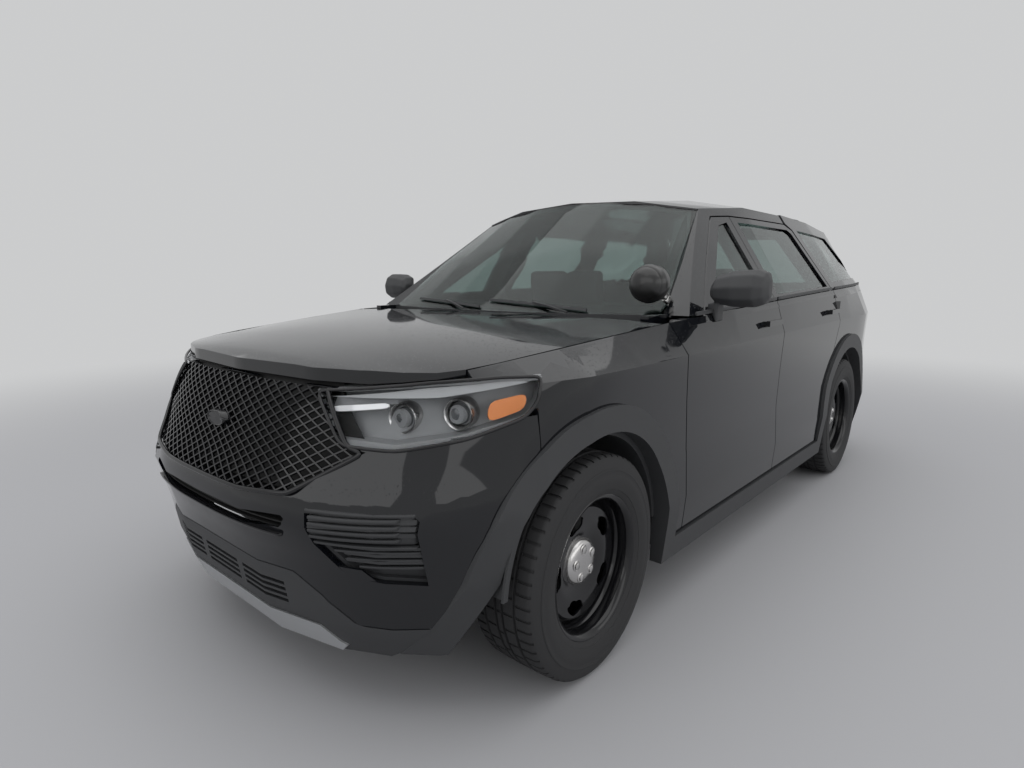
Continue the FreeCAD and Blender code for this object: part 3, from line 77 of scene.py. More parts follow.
# %% The curves of the body skin
def smooth(x, table):
    """Value at x of a smooth curve through (x, value) pairs, in rising x."""
    if x <= table[0][0]:
        return table[0][1]
    if x >= table[-1][0]:
        return table[-1][1]
    steps = [b[0] - a[0] for a, b in zip(table, table[1:])]
    slopes = [(b[1] - a[1]) / s for a, b, s in zip(table, table[1:], steps)]
    bends = [slopes[0]]
    for a, b in zip(slopes, slopes[1:]):
        bends.append(0.0 if a * b <= 0 else 2 * a * b / (a + b))
    bends.append(slopes[-1])
    for i, step in enumerate(steps):
        if x <= table[i + 1][0]:
            u = (x - table[i][0]) / step
            rise = (2 * u**3 - 3 * u**2 + 1) * table[i][1] + (3 * u**2 - 2 * u**3) * table[i + 1][1]
            return rise + step * ((u**3 - 2 * u**2 + u) * bends[i] + (u**3 - u**2) * bends[i + 1])


HALF_LENGTH = 2.525
HALF_WIDTH = 0.985
NOSE_SWEEP, NOSE_POWER = 0.9, 2.6
TAIL_SWEEP, TAIL_POWER = 1.0, 3.4
CREASE_Z = 1.035
HOOD_END, HOOD_FALL = 2.15, 0.1
CROWN_POWER = 2.4
INSET = [(0.235, 0.034), (0.33, 0.016), (0.47, 0.005), (0.65, 0.013), (0.86, 0.008), (1.035, 0.0)]
NOSE = [(0.2, 0.14), (0.33, 0.08), (0.43, 0.062), (0.52, 0.04), (0.6, 0.012), (0.65, 0.0), (0.71, 0.008),
        (0.8, 0.055), (0.9, 0.095), (1.0, 0.14), (1.06, 0.18)]
TAIL = [(0.235, 0.11), (0.33, 0.045), (0.43, 0.008), (0.56, 0.0), (0.64, 0.008), (0.7, 0.025),
        (1.06, 0.025)]
BELT_Y = [(-2.385, 0.68), (-2.3, 0.775), (-2.2, 0.84), (-2.0, 0.88), (-1.5, 0.925), (-0.5, 0.944),
          (0.5, 0.944), (0.95, 0.925), (1.6, 0.868), (2.0, 0.812), (2.15, 0.77)]
BELT_Z = [(-2.3, 1.232), (-1.1, 1.216), (0.0, 1.192), (0.95, 1.162), (1.6, 1.118), (2.0, 1.086),
          (2.15, 1.07)]
HOOD_MID = [(1.0, 1.174), (1.4, 1.161), (1.8, 1.142), (2.1, 1.117), (2.25, 1.098), (2.34, 1.076)]
RAIL_Y = [(-2.25, 0.6), (-1.7, 0.64), (-0.9, 0.662), (-0.2, 0.664), (0.25, 0.646), (0.9, 0.61)]
RAIL_Z = [(-2.25, 1.59), (-1.7, 1.64), (-1.1, 1.668), (-0.5, 1.68), (-0.1, 1.674), (0.25, 1.644),
          (0.9, 1.6)]
ROOF_MID = [(-2.25, 1.655), (-1.7, 1.716), (-1.1, 1.75), (-0.5, 1.763), (0.0, 1.756), (0.33, 1.716)]


def side_field(p):
    """Zero on the skin below the crease, from nose to tail, and positive outside it."""
    wide = HALF_WIDTH - smooth(p[2], INSET)
    nose = HALF_LENGTH - smooth(p[2], NOSE) - NOSE_SWEEP
    tail = -HALF_LENGTH + smooth(p[2], TAIL) + TAIL_SWEEP
    y = abs(p[1]) / wide
    if p[0] > nose:
        return (((p[0] - nose) / NOSE_SWEEP) ** NOSE_POWER + y**NOSE_POWER) ** (1 / NOSE_POWER) - 1
    if p[0] < tail:
        return (((tail - p[0]) / TAIL_SWEEP) ** TAIL_POWER + y**TAIL_POWER) ** (1 / TAIL_POWER) - 1
    return y - 1


def hood_field(p):
    """Zero on the hood, positive above it. Past the end of the belt line the edge falls evenly."""
    edge = smooth(min(p[0], HOOD_END), BELT_Z) - max(p[0] - HOOD_END, 0) * HOOD_FALL
    share = min(abs(p[1]) / (smooth(p[0], BELT_Y) + 0.004), 1)
    return p[2] - edge - (smooth(p[0], HOOD_MID) - edge) * (1 - share**CROWN_POWER)


def roof_field(p):
    """Zero on the roof, positive above it."""
    edge = smooth(p[0], RAIL_Z)
    share = min(abs(p[1]) / smooth(p[0], RAIL_Y), 1)
    return p[2] - edge - (smooth(p[0], ROOF_MID) - edge) * (1 - share**CROWN_POWER)


def field_normal(field, p, reach=0.002):
    """Unit normal of the surface where a field is zero, by small steps."""
    step = [Vector((reach, 0, 0)), Vector((0, reach, 0)), Vector((0, 0, reach))]
    return Vector([field(p + s) - field(p - s) for s in step]).normalized()


print("skin at the front door: %.3f m half-width" % (HALF_WIDTH - smooth(0.7, INSET)))

# %% [markdown]
# Gloss black paint shows only what it mirrors, so its shape is read from its normals. The CAD panels are
# ruled strips and would mirror in bands. A copy of each panel keeps the outline, the gaps and the
# thickness. If it has a skin to follow, its long edges are split, and its faces on that skin take the
# skin's normals. Any other normal is the average of the faces round its vertex that look nearly the same
# way.

# %% Polished copies of the painted panels
MERGE = 0.00002
LONGEST_EDGE = 0.07
SKIN_REACH = 0.035
SAME_WAY = 0.8


def finely_cut(bm):
    """Splits long edges, so that a vertex, and with it a normal, stands every few centimetres."""
    for _ in range(6):
        bmesh.ops.triangulate(bm, faces=bm.faces[:])
        long_edges = [edge for edge in bm.edges if edge.calc_length() > LONGEST_EDGE]
        if not long_edges:
            break
        bmesh.ops.subdivide_edges(bm, edges=long_edges, cuts=1)


def merged_mesh(node, fine=False):
    """Mesh of a CAD node with its loose triangles joined, and finely cut where asked."""
    mesh = nodes[node].data.copy()
    bm = bmesh.new()
    bm.from_mesh(mesh)
    bmesh.ops.remove_doubles(bm, verts=bm.verts, dist=MERGE)
    if fine:
        finely_cut(bm)
    bm.normal_update()
    bm.to_mesh(mesh)
    bm.free()
    return mesh


def field_under(face, rules):
    """The first field whose skin a face lies on, or None. A rule is a field with its lowest and highest z."""
    for field, low, high in rules:
        if not low <= face.center.z <= high:
            continue
        n = field_normal(field, face.center)
        off = field(face.center) / max((field(face.center + n * 0.01) - field(face.center)) / 0.01, 1e-6)
        if abs(off) < SKIN_REACH and n.dot(face.normal) > SAME_WAY:
            return field
    return None


def polished(node, rules):
    """Copy of a CAD node whose faces on the skin take the skin's normals."""
    mesh = merged_mesh(node, bool(rules))
    normals = [None] * len(mesh.loops)
    round_vertex = [[] for _ in mesh.vertices]
    for face in mesh.polygons:
        for vertex in face.vertices:
            round_vertex[vertex].append(face)
    known = {}
    kept = 0
    for face in mesh.polygons:
        found = field_under(face, rules)
        face.use_smooth = True
        for loop in face.loop_indices:
            vertex = mesh.loops[loop].vertex_index
            if found is None:
                near = [f for f in round_vertex[vertex] if f.normal.dot(face.normal) > SAME_WAY]
                normals[loop] = sum([f.normal * f.area for f in near], Vector()).normalized()
            else:
                if (found, vertex) not in known:
                    known[found, vertex] = field_normal(found, mesh.vertices[vertex].co)
                normals[loop] = known[found, vertex]
        kept += found is not None
    mesh.normals_split_custom_set(normals)
    piece = placed(node + "_polished", mesh)
    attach(piece, nodes[node]["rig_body"])
    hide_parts(node)
    print(node, "faces", len(mesh.polygons), "on the smooth skin", kept)
    return piece


side_rule = (side_field, 0.2, CREASE_Z + 0.002)
hood_rule = (hood_field, 1.0, 1.3)
roof_rule = (roof_field, 1.5, 1.9)
SIDE_PANELS = ("front_bumper", "lower_fascia", "front_fenders", "door_front_left", "door_front_right",
               "door_rear_left", "door_rear_right", "quarter_panels", "rear_bumper")
PLAIN_NODES = ("tailgate", "tailgate_glass", "fixed_glass", "side_frames", "wheel_arches", "skid_plate",
               "tail_lamps", "spotlight", "headlamps", "fog_bezels", "cowl_dash", "wipers", "floor_pan")
PAINTED = {name: [side_rule] for name in SIDE_PANELS}
PAINTED["front_fenders"].append(hood_rule)
PAINTED["hood"] = [hood_rule]
PAINTED["roof_panel"] = [roof_rule]
PAINTED.update({name: [] for name in PLAIN_NODES})
PAINTED["lamp_lenses"] = [side_rule]
panels = {name: polished(name, rules) for name, rules in PAINTED.items()}

# %% [markdown]
# Finishes come next. Small effects that several materials share are node groups: a fine moulded grain, and
# the rain drops that stand on every face that looks up. Each group gives out a height, and each material
# decides how fine and how strong it is.

# %% Shared effects
def new_group(name, inputs, outputs):
    """Empty shader group with named float or vector sockets, and its two end nodes."""
    group = bpy.data.node_groups.new(name, "ShaderNodeTree")
    for label, kind, value in inputs:
        socket = group.interface.new_socket(label, in_out="INPUT", socket_type=kind)
        if value is not None:
            socket.default_value = value
    for label, kind in outputs:
        group.interface.new_socket(label, in_out="OUTPUT", socket_type=kind)
    return group, group.nodes.new("NodeGroupInput"), group.nodes.new("NodeGroupOutput")


def add(tree, kind, **values):
    """New node with its properties or inputs set by name."""
    node = tree.nodes.new(kind)
    for key, value in values.items():
        if key in node.inputs:
            node.inputs[key].default_value = value
        else:
            setattr(node, key, value)
    return node


def wire(tree, *links):
    """Links nodes, each link as (node, its output, other node, that one's input)."""
    for source, output, target, socket in links:
        tree.links.new(source.outputs[output], target.inputs[socket])


grain_group, grain_in, grain_out = new_group(
    "moulded_grain",
    [("Vector", "NodeSocketVector", None), ("Scale", "NodeSocketFloat", 900.0)],
    [("Height", "NodeSocketFloat")],
)
grain_noise = add(grain_group, "ShaderNodeTexNoise", Detail=2.0, Roughness=0.6)
wire(
    grain_group,
    (grain_in, "Vector", grain_noise, "Vector"),
    (grain_in, "Scale", grain_noise, "Scale"),
    (grain_noise, "Fac", grain_out, "Height"),
)

drop_group, drop_in, drop_out = new_group(
    "rain_drops",
    [("Vector", "NodeSocketVector", None), ("Scale", "NodeSocketFloat", 120.0),
     ("Amount", "NodeSocketFloat", 0.7)],
    [("Height", "NodeSocketFloat")],
)
LARGEST_DROP = 0.42
cells = add(drop_group, "ShaderNodeTexVoronoi", feature="F1", Randomness=1.0)
spread = add(drop_group, "ShaderNodeSeparateColor")
size = add(drop_group, "ShaderNodeMath", operation="MULTIPLY")
size.inputs[1].default_value = LARGEST_DROP
bead = add(drop_group, "ShaderNodeMapRange", interpolation_type="SMOOTHSTEP",
           **{"To Min": 1.0, "To Max": 0.0})
chance = add(drop_group, "ShaderNodeMath", operation="LESS_THAN")
there = add(drop_group, "ShaderNodeMath", operation="MULTIPLY")
up = add(drop_group, "ShaderNodeNewGeometry")
up_parts = add(drop_group, "ShaderNodeSeparateXYZ")
looks_up = add(drop_group, "ShaderNodeMapRange", **{"From Min": 0.25, "From Max": 0.7})
wet = add(drop_group, "ShaderNodeMath", operation="MULTIPLY")
wire(
    drop_group,
    (drop_in, "Vector", cells, "Vector"),
    (drop_in, "Scale", cells, "Scale"),
    (cells, "Color", spread, "Color"),
    (spread, "Red", size, 0),
    (cells, "Distance", bead, "Value"),
    (size, "Value", bead, "From Max"),
    (spread, "Green", chance, 0),
    (drop_in, "Amount", chance, 1),
    (bead, "Result", there, 0),
    (chance, "Value", there, 1),
    (up, "Normal", up_parts, "Vector"),
    (up_parts, "Z", looks_up, "Value"),
    (there, "Value", wet, 0),
    (looks_up, "Result", wet, 1),
    (wet, "Value", drop_out, "Height"),
)
print("groups:", [g.name for g in bpy.data.node_groups])

# %% [markdown]
# One function builds every plain finish: a Principled BSDF with its numbers on its own sockets, and an
# optional grain or drops that feed the normal through a Bump node.

# %% Finishes
def finish(name, colour, roughness, metallic=0.0, coat=0.0, clear=0.0, ior=1.5, group=None, scale=900.0,
           bump=0.0):
    """Material with plain values, and a shared group as its relief."""
    material = bpy.data.materials.new(name)
    material.use_nodes = True
    tree = material.node_tree
    shader = tree.nodes["Principled BSDF"]
    shader.inputs["Base Color"].default_value = (*colour, 1)
    shader.inputs["Roughness"].default_value = roughness
    shader.inputs["Metallic"].default_value = metallic
    shader.inputs["Coat Weight"].default_value = coat
    shader.inputs["Transmission Weight"].default_value = clear
    shader.inputs["IOR"].default_value = ior
    if group is not None:
        place = add(tree, "ShaderNodeTexCoord")
        relief = add(tree, "ShaderNodeGroup", node_tree=group)
        relief.inputs["Scale"].default_value = scale
        lift = add(tree, "ShaderNodeBump", Strength=bump, Distance=0.002)
        wire(
            tree,
            (place, "Object", relief, "Vector"),
            (relief, "Height", lift, "Height"),
            (lift, "Normal", shader, "Normal"),
        )
    material.diffuse_color = (*colour, 1)
    return material


black_paint = finish("black_paint", (0.004, 0.0045, 0.006), 0.045, ior=1.55, group=drop_group, scale=150.0,
                     bump=0.4)
matte_trim = finish("matte_trim", (0.032, 0.033, 0.035), 0.55, group=grain_group, scale=1400.0, bump=0.1)
soft_black = finish("soft_black", (0.016, 0.016, 0.017), 0.6, group=grain_group, scale=1200.0, bump=0.12)
gloss_trim = finish("gloss_trim", (0.006, 0.006, 0.007), 0.09)
silver_trim = finish("silver_trim", (0.52, 0.53, 0.54), 0.32, metallic=0.75)
reflector = finish("reflector", (0.26, 0.265, 0.27), 0.42)
clear_lens = finish("clear_lens", (0.97, 0.98, 0.99), 0.0, clear=1.0, ior=1.08)
green_glass = finish("green_glass", (0.33, 0.42, 0.4), 0.0, clear=1.0, ior=1.35)
red_lens = finish("red_lens", (0.34, 0.008, 0.01), 0.08, coat=0.6)
seat_cloth = finish("seat_cloth", (0.03, 0.031, 0.034), 0.9, group=grain_group, scale=700.0, bump=0.35)
cast_metal = finish("cast_metal", (0.07, 0.07, 0.07), 0.6, metallic=0.4, group=grain_group, scale=300.0,
                    bump=0.25)
floor_paint = finish("floor_paint", (0.02, 0.02, 0.02), 0.6)
lamp_shell = finish("lamp_shell", (0.01, 0.01, 0.01), 0.35, coat=0.3)
rubber = finish("rubber", (0.018, 0.018, 0.019), 0.75, group=grain_group, scale=800.0, bump=0.15)
wheel_paint = finish("wheel_paint", (0.006, 0.006, 0.007), 0.14)
bright_steel = finish("bright_steel", (0.62, 0.61, 0.6), 0.24, metallic=1.0)
# Near-black matte: the windscreen frit's own colour, and painted shade on the sheets behind the grille and in
# the bumper slot.
frit_and_painted_shade = finish("frit_and_painted_shade", (0.004, 0.004, 0.004), 0.7)
amber_plastic = finish("amber_plastic", (0.75, 0.24, 0.06), 0.25)
lamp_white = finish("lamp_white", (0.42, 0.43, 0.44), 0.4)
bar_white = finish("bar_white", (0.72, 0.73, 0.74), 0.35)
projector_glass = finish("projector_glass", (0.1, 0.105, 0.11), 0.04, ior=1.6)
SLOT_FINISH = {
    "paint": black_paint,
    "trim_plastic": matte_trim,
    "gloss_black": gloss_trim,
    "satin_silver": silver_trim,
    "lamp_reflector": reflector,
    "lamp_lens": clear_lens,
    "tinted_glass": green_glass,
    "red_lens": red_lens,
    "seat_cloth": seat_cloth,
    "cast_metal": cast_metal,
    "underbody": floor_paint,
    "lamp_black": lamp_shell,
    "tyre_rubber": rubber,
    "wheel_steel": wheel_paint,
}


def wear(piece, slot):
    """Gives a piece the finish of its slot."""
    piece.data.materials.clear()
    piece.data.materials.append(SLOT_FINISH[slot])


slot_of = {row["node"]: row["material_slot"] for row in frame["record"]["subparts"]}
for name, piece in nodes.items():
    wear(panels.get(name, piece), slot_of[name])
print("finishes:", len(SLOT_FINISH))

# %% [markdown]
# New pieces all end the same way: doubles are merged, faces are turned outwards, and the piece rides on its
# body. One helper does that, so that every later cell can stay short. The others turn, move, spin, cut and
# mirror a shape before that.

# %% Helpers for new pieces
def fastened(piece, body, replaces=()):
    """Ties a piece to its body and hides the CAD nodes that it replaces."""
    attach(piece, body)
    if replaces:
        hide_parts(*replaces)
    return piece


def mesh_of(bm, name):
    """Mesh of a bmesh, which is freed."""
    mesh = bpy.data.meshes.new(name)
    bm.to_mesh(mesh)
    bm.free()
    return mesh


def cleaned(bm, merge=0.00001):
    """Merges doubles and turns the faces outwards."""
    bmesh.ops.remove_doubles(bm, verts=bm.verts, dist=merge)
    bmesh.ops.recalc_face_normals(bm, faces=bm.faces)


def make_piece(bm, name, body, material, replaces=(), angle=40, merge=0.00001):
    """Piece from a bmesh, smooth up to an angle in degrees."""
    cleaned(bm, merge)
    mesh = mesh_of(bm, name)
    mesh.polygons.foreach_set("use_smooth", [True] * len(mesh.polygons))
    mesh.set_sharp_from_angle(angle=math.radians(angle))
    mesh.materials.append(material)
    return fastened(placed(name, mesh), body, replaces)


def moved_copy(piece, name, body, matrix, replaces=()):
    """The same mesh at another place, with that place in its vertices."""
    mesh = piece.data.copy()
    mesh.transform(matrix)
    fastened(placed(name, mesh), body, replaces)


def joined(target, extra):
    """Adds one bmesh to another and frees it."""
    target.from_mesh(mesh_of(extra, "part"))


def applied(piece):
    """Mesh of an object with its modifiers applied. The object itself goes."""
    depsgraph = bpy.context.evaluated_depsgraph_get()
    mesh = bpy.data.meshes.new_from_object(piece.evaluated_get(depsgraph))
    bpy.data.objects.remove(piece)
    return mesh


def everything(bm):
    """All vertices, edges and faces, as one list."""
    return bm.verts[:] + bm.edges[:] + bm.faces[:]


def new_verts(result):
    """The vertices that an extrusion or a copy has made."""
    return [g for g in result["geom"] if isinstance(g, bmesh.types.BMVert)]


def rotated(bm, angle, axis, verts=None):
    """Turns a bmesh, or some of its vertices, by radians about an axis through the origin."""
    turn = Matrix.Rotation(angle, 3, axis)
    bmesh.ops.rotate(bm, verts=verts or bm.verts, cent=(0, 0, 0), matrix=turn)


def shifted(bm, vec):
    """Moves a bmesh."""
    bmesh.ops.translate(bm, verts=bm.verts, vec=vec)


def spun(bm, profile, steps):
    """Turns a closed profile of (along the axle, radius) points about the Y axis."""
    verts = [bm.verts.new((0, a, r)) for a, r in profile]
    edges = [bm.edges.new(pair) for pair in zip(verts, verts[1:] + verts[:1])]
    bmesh.ops.spin(bm, geom=verts + edges, cent=(0, 0, 0), axis=(0, 1, 0), angle=math.tau, steps=steps,
                   use_merge=True)


def facing_forwards(profile, steps, place=(0, 0, 0), turn=0.0):
    """Spun solid whose axle points forwards, turned by radians towards the left, at a place."""
    bm = bmesh.new()
    spun(bm, profile, steps)
    rotated(bm, turn - math.pi / 2, "Z")
    shifted(bm, place)
    return bm


def bead_box(bm, low, high, bevel, segments=2):
    """Box between two corners with rounded edges."""
    made = bmesh.ops.create_cube(bm, size=1.0)["verts"]
    bmesh.ops.scale(bm, verts=made, vec=[b - a for a, b in zip(low, high)])
    bmesh.ops.translate(bm, verts=made, vec=[(a + b) / 2 for a, b in zip(low, high)])
    edges = list({e for v in made for e in v.link_edges})
    bmesh.ops.bevel(bm, geom=edges, offset=bevel, offset_type="OFFSET", segments=segments, profile=0.5,
                    affect="EDGES", material=-1)


def sliced(bm, point, normal, clear=False):
    """Cuts a mesh along a plane, and clears what lies beyond it where asked."""
    bmesh.ops.bisect_plane(bm, geom=everything(bm), dist=1e-6, plane_co=point, plane_no=normal,
                           clear_outer=clear)


def cut_across(bm, axis, start, end, step):
    """Cuts a mesh every so far along an axis, so that it can bend."""
    at = start + step
    while at < end:
        sliced(bm, axis * at, axis)
        at += step


def both_sides(bm):
    """Adds the mirror image on the car's other side."""
    bmesh.ops.mirror(bm, geom=everything(bm), matrix=Matrix.Identity(4), merge_dist=-1.0, axis="Y")


# %% [markdown]
# A tyre is a rubber section turned about the axle. The section has the bead, the bulge of the sidewall with
# its moulded rings, a rounded shoulder and four grooves. After the spin the ribs are one ring of small
# faces each, so groups of them are pushed in to cut the cross grooves, as a mould does with its blades.

# %% Tyres
TYRE_R = 0.3815
AXLES = {"front": 1.605, "rear": -1.42}
WHEEL_Y = 0.85
TREAD_COLUMNS = 240
TREAD_FROM = 0.3705
TO_WHEEL = Matrix.Translation((AXLES["front"], WHEEL_Y, TYRE_R))
HALF_SECTION = [(0.1035, 0.232), (0.113, 0.248), (0.118, 0.258), (0.12, 0.264), (0.1212, 0.2645),
                (0.1255, 0.285), (0.1272, 0.3), (0.1268, 0.312), (0.1245, 0.328), (0.125, 0.329),
                (0.124, 0.333), (0.1225, 0.3335), (0.12, 0.348), (0.1165, 0.362), (0.112, 0.371),
                (0.106, 0.3765), (0.098, 0.3785), (0.064, 0.3803), (0.062, 0.373), (0.054, 0.373),
                (0.052, 0.3808), (0.018, 0.3815), (0.0165, 0.3735), (0.0085, 0.3735), (0.007, 0.3815)]


def cut_grooves(bm, low, high, every, lean, depth):
    """Pushes in the faces of one column in so many, on the ribs between two distances from the middle."""
    chosen = []
    for face in bm.faces:
        middle = face.calc_center_median()
        radius = math.hypot(middle.x, middle.z)
        column = int((math.atan2(middle.x, middle.z) % math.tau) / math.tau * TREAD_COLUMNS)
        column += int(lean * abs(middle.y) * TREAD_COLUMNS)
        on_rib = low < abs(middle.y) < high and radius > TREAD_FROM
        if on_rib and column % every == 0 and abs(face.normal.y) < 0.9:
            chosen.append(face)
    for vert in new_verts(bmesh.ops.extrude_face_region(bm, geom=chosen)):
        radius = math.hypot(vert.co.x, vert.co.z)
        vert.co.x *= (radius - depth) / radius
        vert.co.z *= (radius - depth) / radius
    bmesh.ops.delete(bm, geom=[f for f in chosen if f.is_valid], context="FACES_ONLY")


tyre_bm = bmesh.new()
spun(tyre_bm, HALF_SECTION + [(-y, r) for y, r in reversed(HALF_SECTION)], TREAD_COLUMNS)
cleaned(tyre_bm)
cut_grooves(tyre_bm, 0.063, 0.112, 4, 0.0, 0.0055)
cut_grooves(tyre_bm, 0.019, 0.053, 6, 1.0, 0.0045)
cut_grooves(tyre_bm, -1.0, 0.006, 8, 0.0, 0.0035)
tyre = make_piece(tyre_bm, "tyre_front_left_tread", "wheel_front_left", rubber, ("tyre_front_left",),
                  38)
tyre.data.transform(TO_WHEEL)
print("tyre faces:", len(tyre.data.polygons))


def other_wheels(piece, stem, ending, slot=None):
    """Copies a front left piece to the three other wheels, turned round on the right side."""
    for end, side in (("front", "right"), ("rear", "left"), ("rear", "right")):
        where = "_%s_%s" % (end, side)
        turn = Matrix.Rotation(math.pi if side == "right" else 0.0, 4, "Z")
        place = Matrix.Translation((AXLES[end], WHEEL_Y if side == "left" else -WHEEL_Y, TYRE_R))
        moved_copy(piece, stem + where + ending, "wheel" + where, place @ turn @ TO_WHEEL.inverted(),
                   (stem + where,) if slot else ())


other_wheels(tyre, "tyre", "_tread", "tyre_rubber")

# %% [markdown]
# The wheel is pressed steel, painted gloss black. Its rim and its crowned disc are spun sections, and one
# boolean with five oval posts cuts the openings. A brake disc stands behind them, and a bright cap with
# five raised studs closes the hub.

# %% Wheels
OPENINGS = 5
OPENING_R, OPENING_TURN = 0.158, 0.35
STUD_R, STUD_TURN = 0.04, 0.2
CROWN = [(0.02, 0.223), (0.033, 0.213), (0.04, 0.2), (0.052, 0.196), (0.056, 0.19), (0.055, 0.17),
         (0.058, 0.148), (0.056, 0.125), (0.048, 0.096), (0.042, 0.078), (0.041, 0.06), (0.041, 0.01)]
RIM = [(-0.112, 0.247), (-0.106, 0.2475), (-0.104, 0.233), (-0.09, 0.231), (-0.03, 0.229), (0.02, 0.228),
       (0.08, 0.229), (0.0985, 0.231), (0.1045, 0.233), (0.1065, 0.247), (0.111, 0.248), (0.1135, 0.244),
       (0.111, 0.237), (0.106, 0.231), (0.1, 0.2255), (0.09, 0.223), (0.06, 0.2235), (0.05, 0.217),
       (0.02, 0.215), (-0.06, 0.218), (-0.11, 0.225)]
ROTOR = [(-0.045, 0.031), (-0.045, 0.172), (-0.017, 0.172), (-0.017, 0.1), (0.0, 0.08), (0.036, 0.066),
         (0.036, 0.031)]
CAP = [(0.036, 0.066), (0.042, 0.0665), (0.05, 0.064), (0.056, 0.059), (0.06, 0.054), (0.0625, 0.045),
       (0.064, 0.03), (0.0645, 0.015), (0.0645, 0.001), (0.036, 0.001)]
STUD = [(0.06, 0.0005), (0.06, 0.015), (0.064, 0.015), (0.066, 0.0125), (0.065, 0.0105), (0.069, 0.0095),
        (0.0705, 0.007), (0.0708, 0.0005)]


def oval_posts():
    """Five posts along the axle, a little wider at their outer side."""
    bm = bmesh.new()
    for k in range(OPENINGS):
        made = bmesh.ops.create_circle(bm, cap_ends=True, segments=36, radius=1.0)["verts"]
        for vert in made:
            across = vert.co.x * (0.05 if vert.co.y > 0 else 0.04)
            vert.co = Vector((across, 0.0, vert.co.y * 0.026 + OPENING_R - 0.012 * abs(vert.co.x)))
        faces = list({f for v in made for f in v.link_faces})
        lifted = new_verts(bmesh.ops.extrude_face_region(bm, geom=faces))
        bmesh.ops.translate(bm, verts=lifted, vec=(0, 0.12, 0))
        rotated(bm, math.tau * k / OPENINGS + OPENING_TURN, "Y", made + lifted)
    bmesh.ops.recalc_face_normals(bm, faces=bm.faces)
    return bm


disc_bm = bmesh.new()
spun(disc_bm, CROWN + [(y - 0.006, r) for y, r in reversed(CROWN)], 120)
cleaned(disc_bm)
disc = placed("disc", mesh_of(disc_bm, "disc"))
posts = placed("oval_posts", mesh_of(oval_posts(), "oval_posts"))
cut = disc.modifiers.new("ovals", "BOOLEAN")
cut.operation = "DIFFERENCE"
cut.solver = "EXACT"
cut.object = posts
disc_mesh = applied(disc)
bpy.data.objects.remove(posts)

rim_bm, rotor_bm, cap_bm = bmesh.new(), bmesh.new(), bmesh.new()
spun(rim_bm, RIM, 120)
rim_bm.from_mesh(disc_mesh)
wheel = make_piece(rim_bm, "wheel_front_left_steel", "wheel_front_left", wheel_paint, ("wheel_front_left",),
                   32, 0.000005)
spun(rotor_bm, ROTOR, 72)
rotor = make_piece(rotor_bm, "brake_front_left", "wheel_front_left", cast_metal, angle=30)
spun(cap_bm, CAP, 96)
for k in range(OPENINGS):
    stud_bm = bmesh.new()
    spun(stud_bm, STUD, 24)
    shifted(stud_bm, (0, -0.001, STUD_R))
    rotated(stud_bm, math.tau * k / OPENINGS + STUD_TURN, "Y")
    joined(cap_bm, stud_bm)
inner = [v for v in cap_bm.verts if math.hypot(v.co.x, v.co.z) < 0.0675]
bmesh.ops.scale(cap_bm, verts=inner, vec=(1.24, 1, 1.24))
cap = make_piece(cap_bm, "cap_front_left", "wheel_front_left", bright_steel, angle=35)
for part in (wheel, rotor, cap):
    part.data.transform(TO_WHEEL)
other_wheels(wheel, "wheel", "_steel", "wheel_steel")
other_wheels(rotor, "brake", "_rotor")
other_wheels(cap, "cap", "_bright")
print("wheel faces:", len(wheel.data.polygons), "cap faces:", len(cap.data.polygons))

# %% [markdown]
# Trim on the nose is laid out flat, in the plane that faces forwards, and then pushed back onto the skin.
# For that the skin is needed as x over (y, z), a little under or over the surface. Outlines come as (y, z)
# points.

# %% Points of the nose skin, and flat shapes to lay on it
TO_FRONT = Matrix(((0, 0, 1, 0), (1, 0, 0, 0), (0, 1, 0, 0), (0, 0, 0, 1)))


def nose_at(y, z, depth=0.0):
    """x of the nose skin at (y, z), moved inwards by depth along the skin's normal, about."""
    wide = HALF_WIDTH - smooth(z, INSET)
    share = min(abs(y) / wide, 0.999)
    x = HALF_LENGTH - smooth(z, NOSE) - NOSE_SWEEP * (1 - (1 - share**NOSE_POWER) ** (1 / NOSE_POWER))
    if depth:
        n = field_normal(side_field, Vector((x, y, z)))
        x -= depth / max(n.x, 0.35)
    return x


def onto_nose(bm, depth):
    """Moves a flat mesh at x = 0 onto the nose, keeping each point's own x as its height over the skin."""
    for vert in bm.verts:
        vert.co.x = nose_at(vert.co.y, vert.co.z, depth - vert.co.x)


def flat_grid(columns, rows, width, height, y, z):
    """Grid in the YZ plane with its middle at (y, z)."""
    bm = bmesh.new()
    bmesh.ops.create_grid(bm, x_segments=columns, y_segments=rows, size=0.5)
    bmesh.ops.transform(bm, matrix=TO_FRONT, verts=bm.verts)
    bmesh.ops.scale(bm, verts=bm.verts, vec=(1, width, height))
    shifted(bm, (0, y, z))
    return bm


def inside_outline(bm, outline):
    """Cuts a flat mesh down to a convex outline, given anticlockwise as seen from the front."""
    for (y0, z0), (y1, z1) in zip(outline, outline[1:] + outline[:1]):
        edge = Vector((0, y1 - y0, z1 - z0)).normalized()
        sliced(bm, (0, y0, z0), (0, edge.z, -edge.y), True)


def resampled(outline, step, rounds, closed=True):
    """Outline as evenly spaced points, its corners eased by averaging. An open one keeps its first point."""
    points = []
    for (y0, z0), (y1, z1) in zip(outline, outline[1:] + (outline[:1] if closed else [])):
        count = max(int(math.hypot(y1 - y0, z1 - z0) / step), 1)
        points += [(y0 + (y1 - y0) * i / count, z0 + (z1 - z0) * i / count) for i in range(count)]
    for _ in range(rounds):
        eased = [((a[0] + 2 * b[0] + c[0]) / 4, (a[1] + 2 * b[1] + c[1]) / 4)
                 for a, b, c in zip(points[-1:] + points[:-1], points, points[1:] + points[:1])]
        points = eased if closed else points[:1] + eased[1:-1] + points[-1:]
    return points


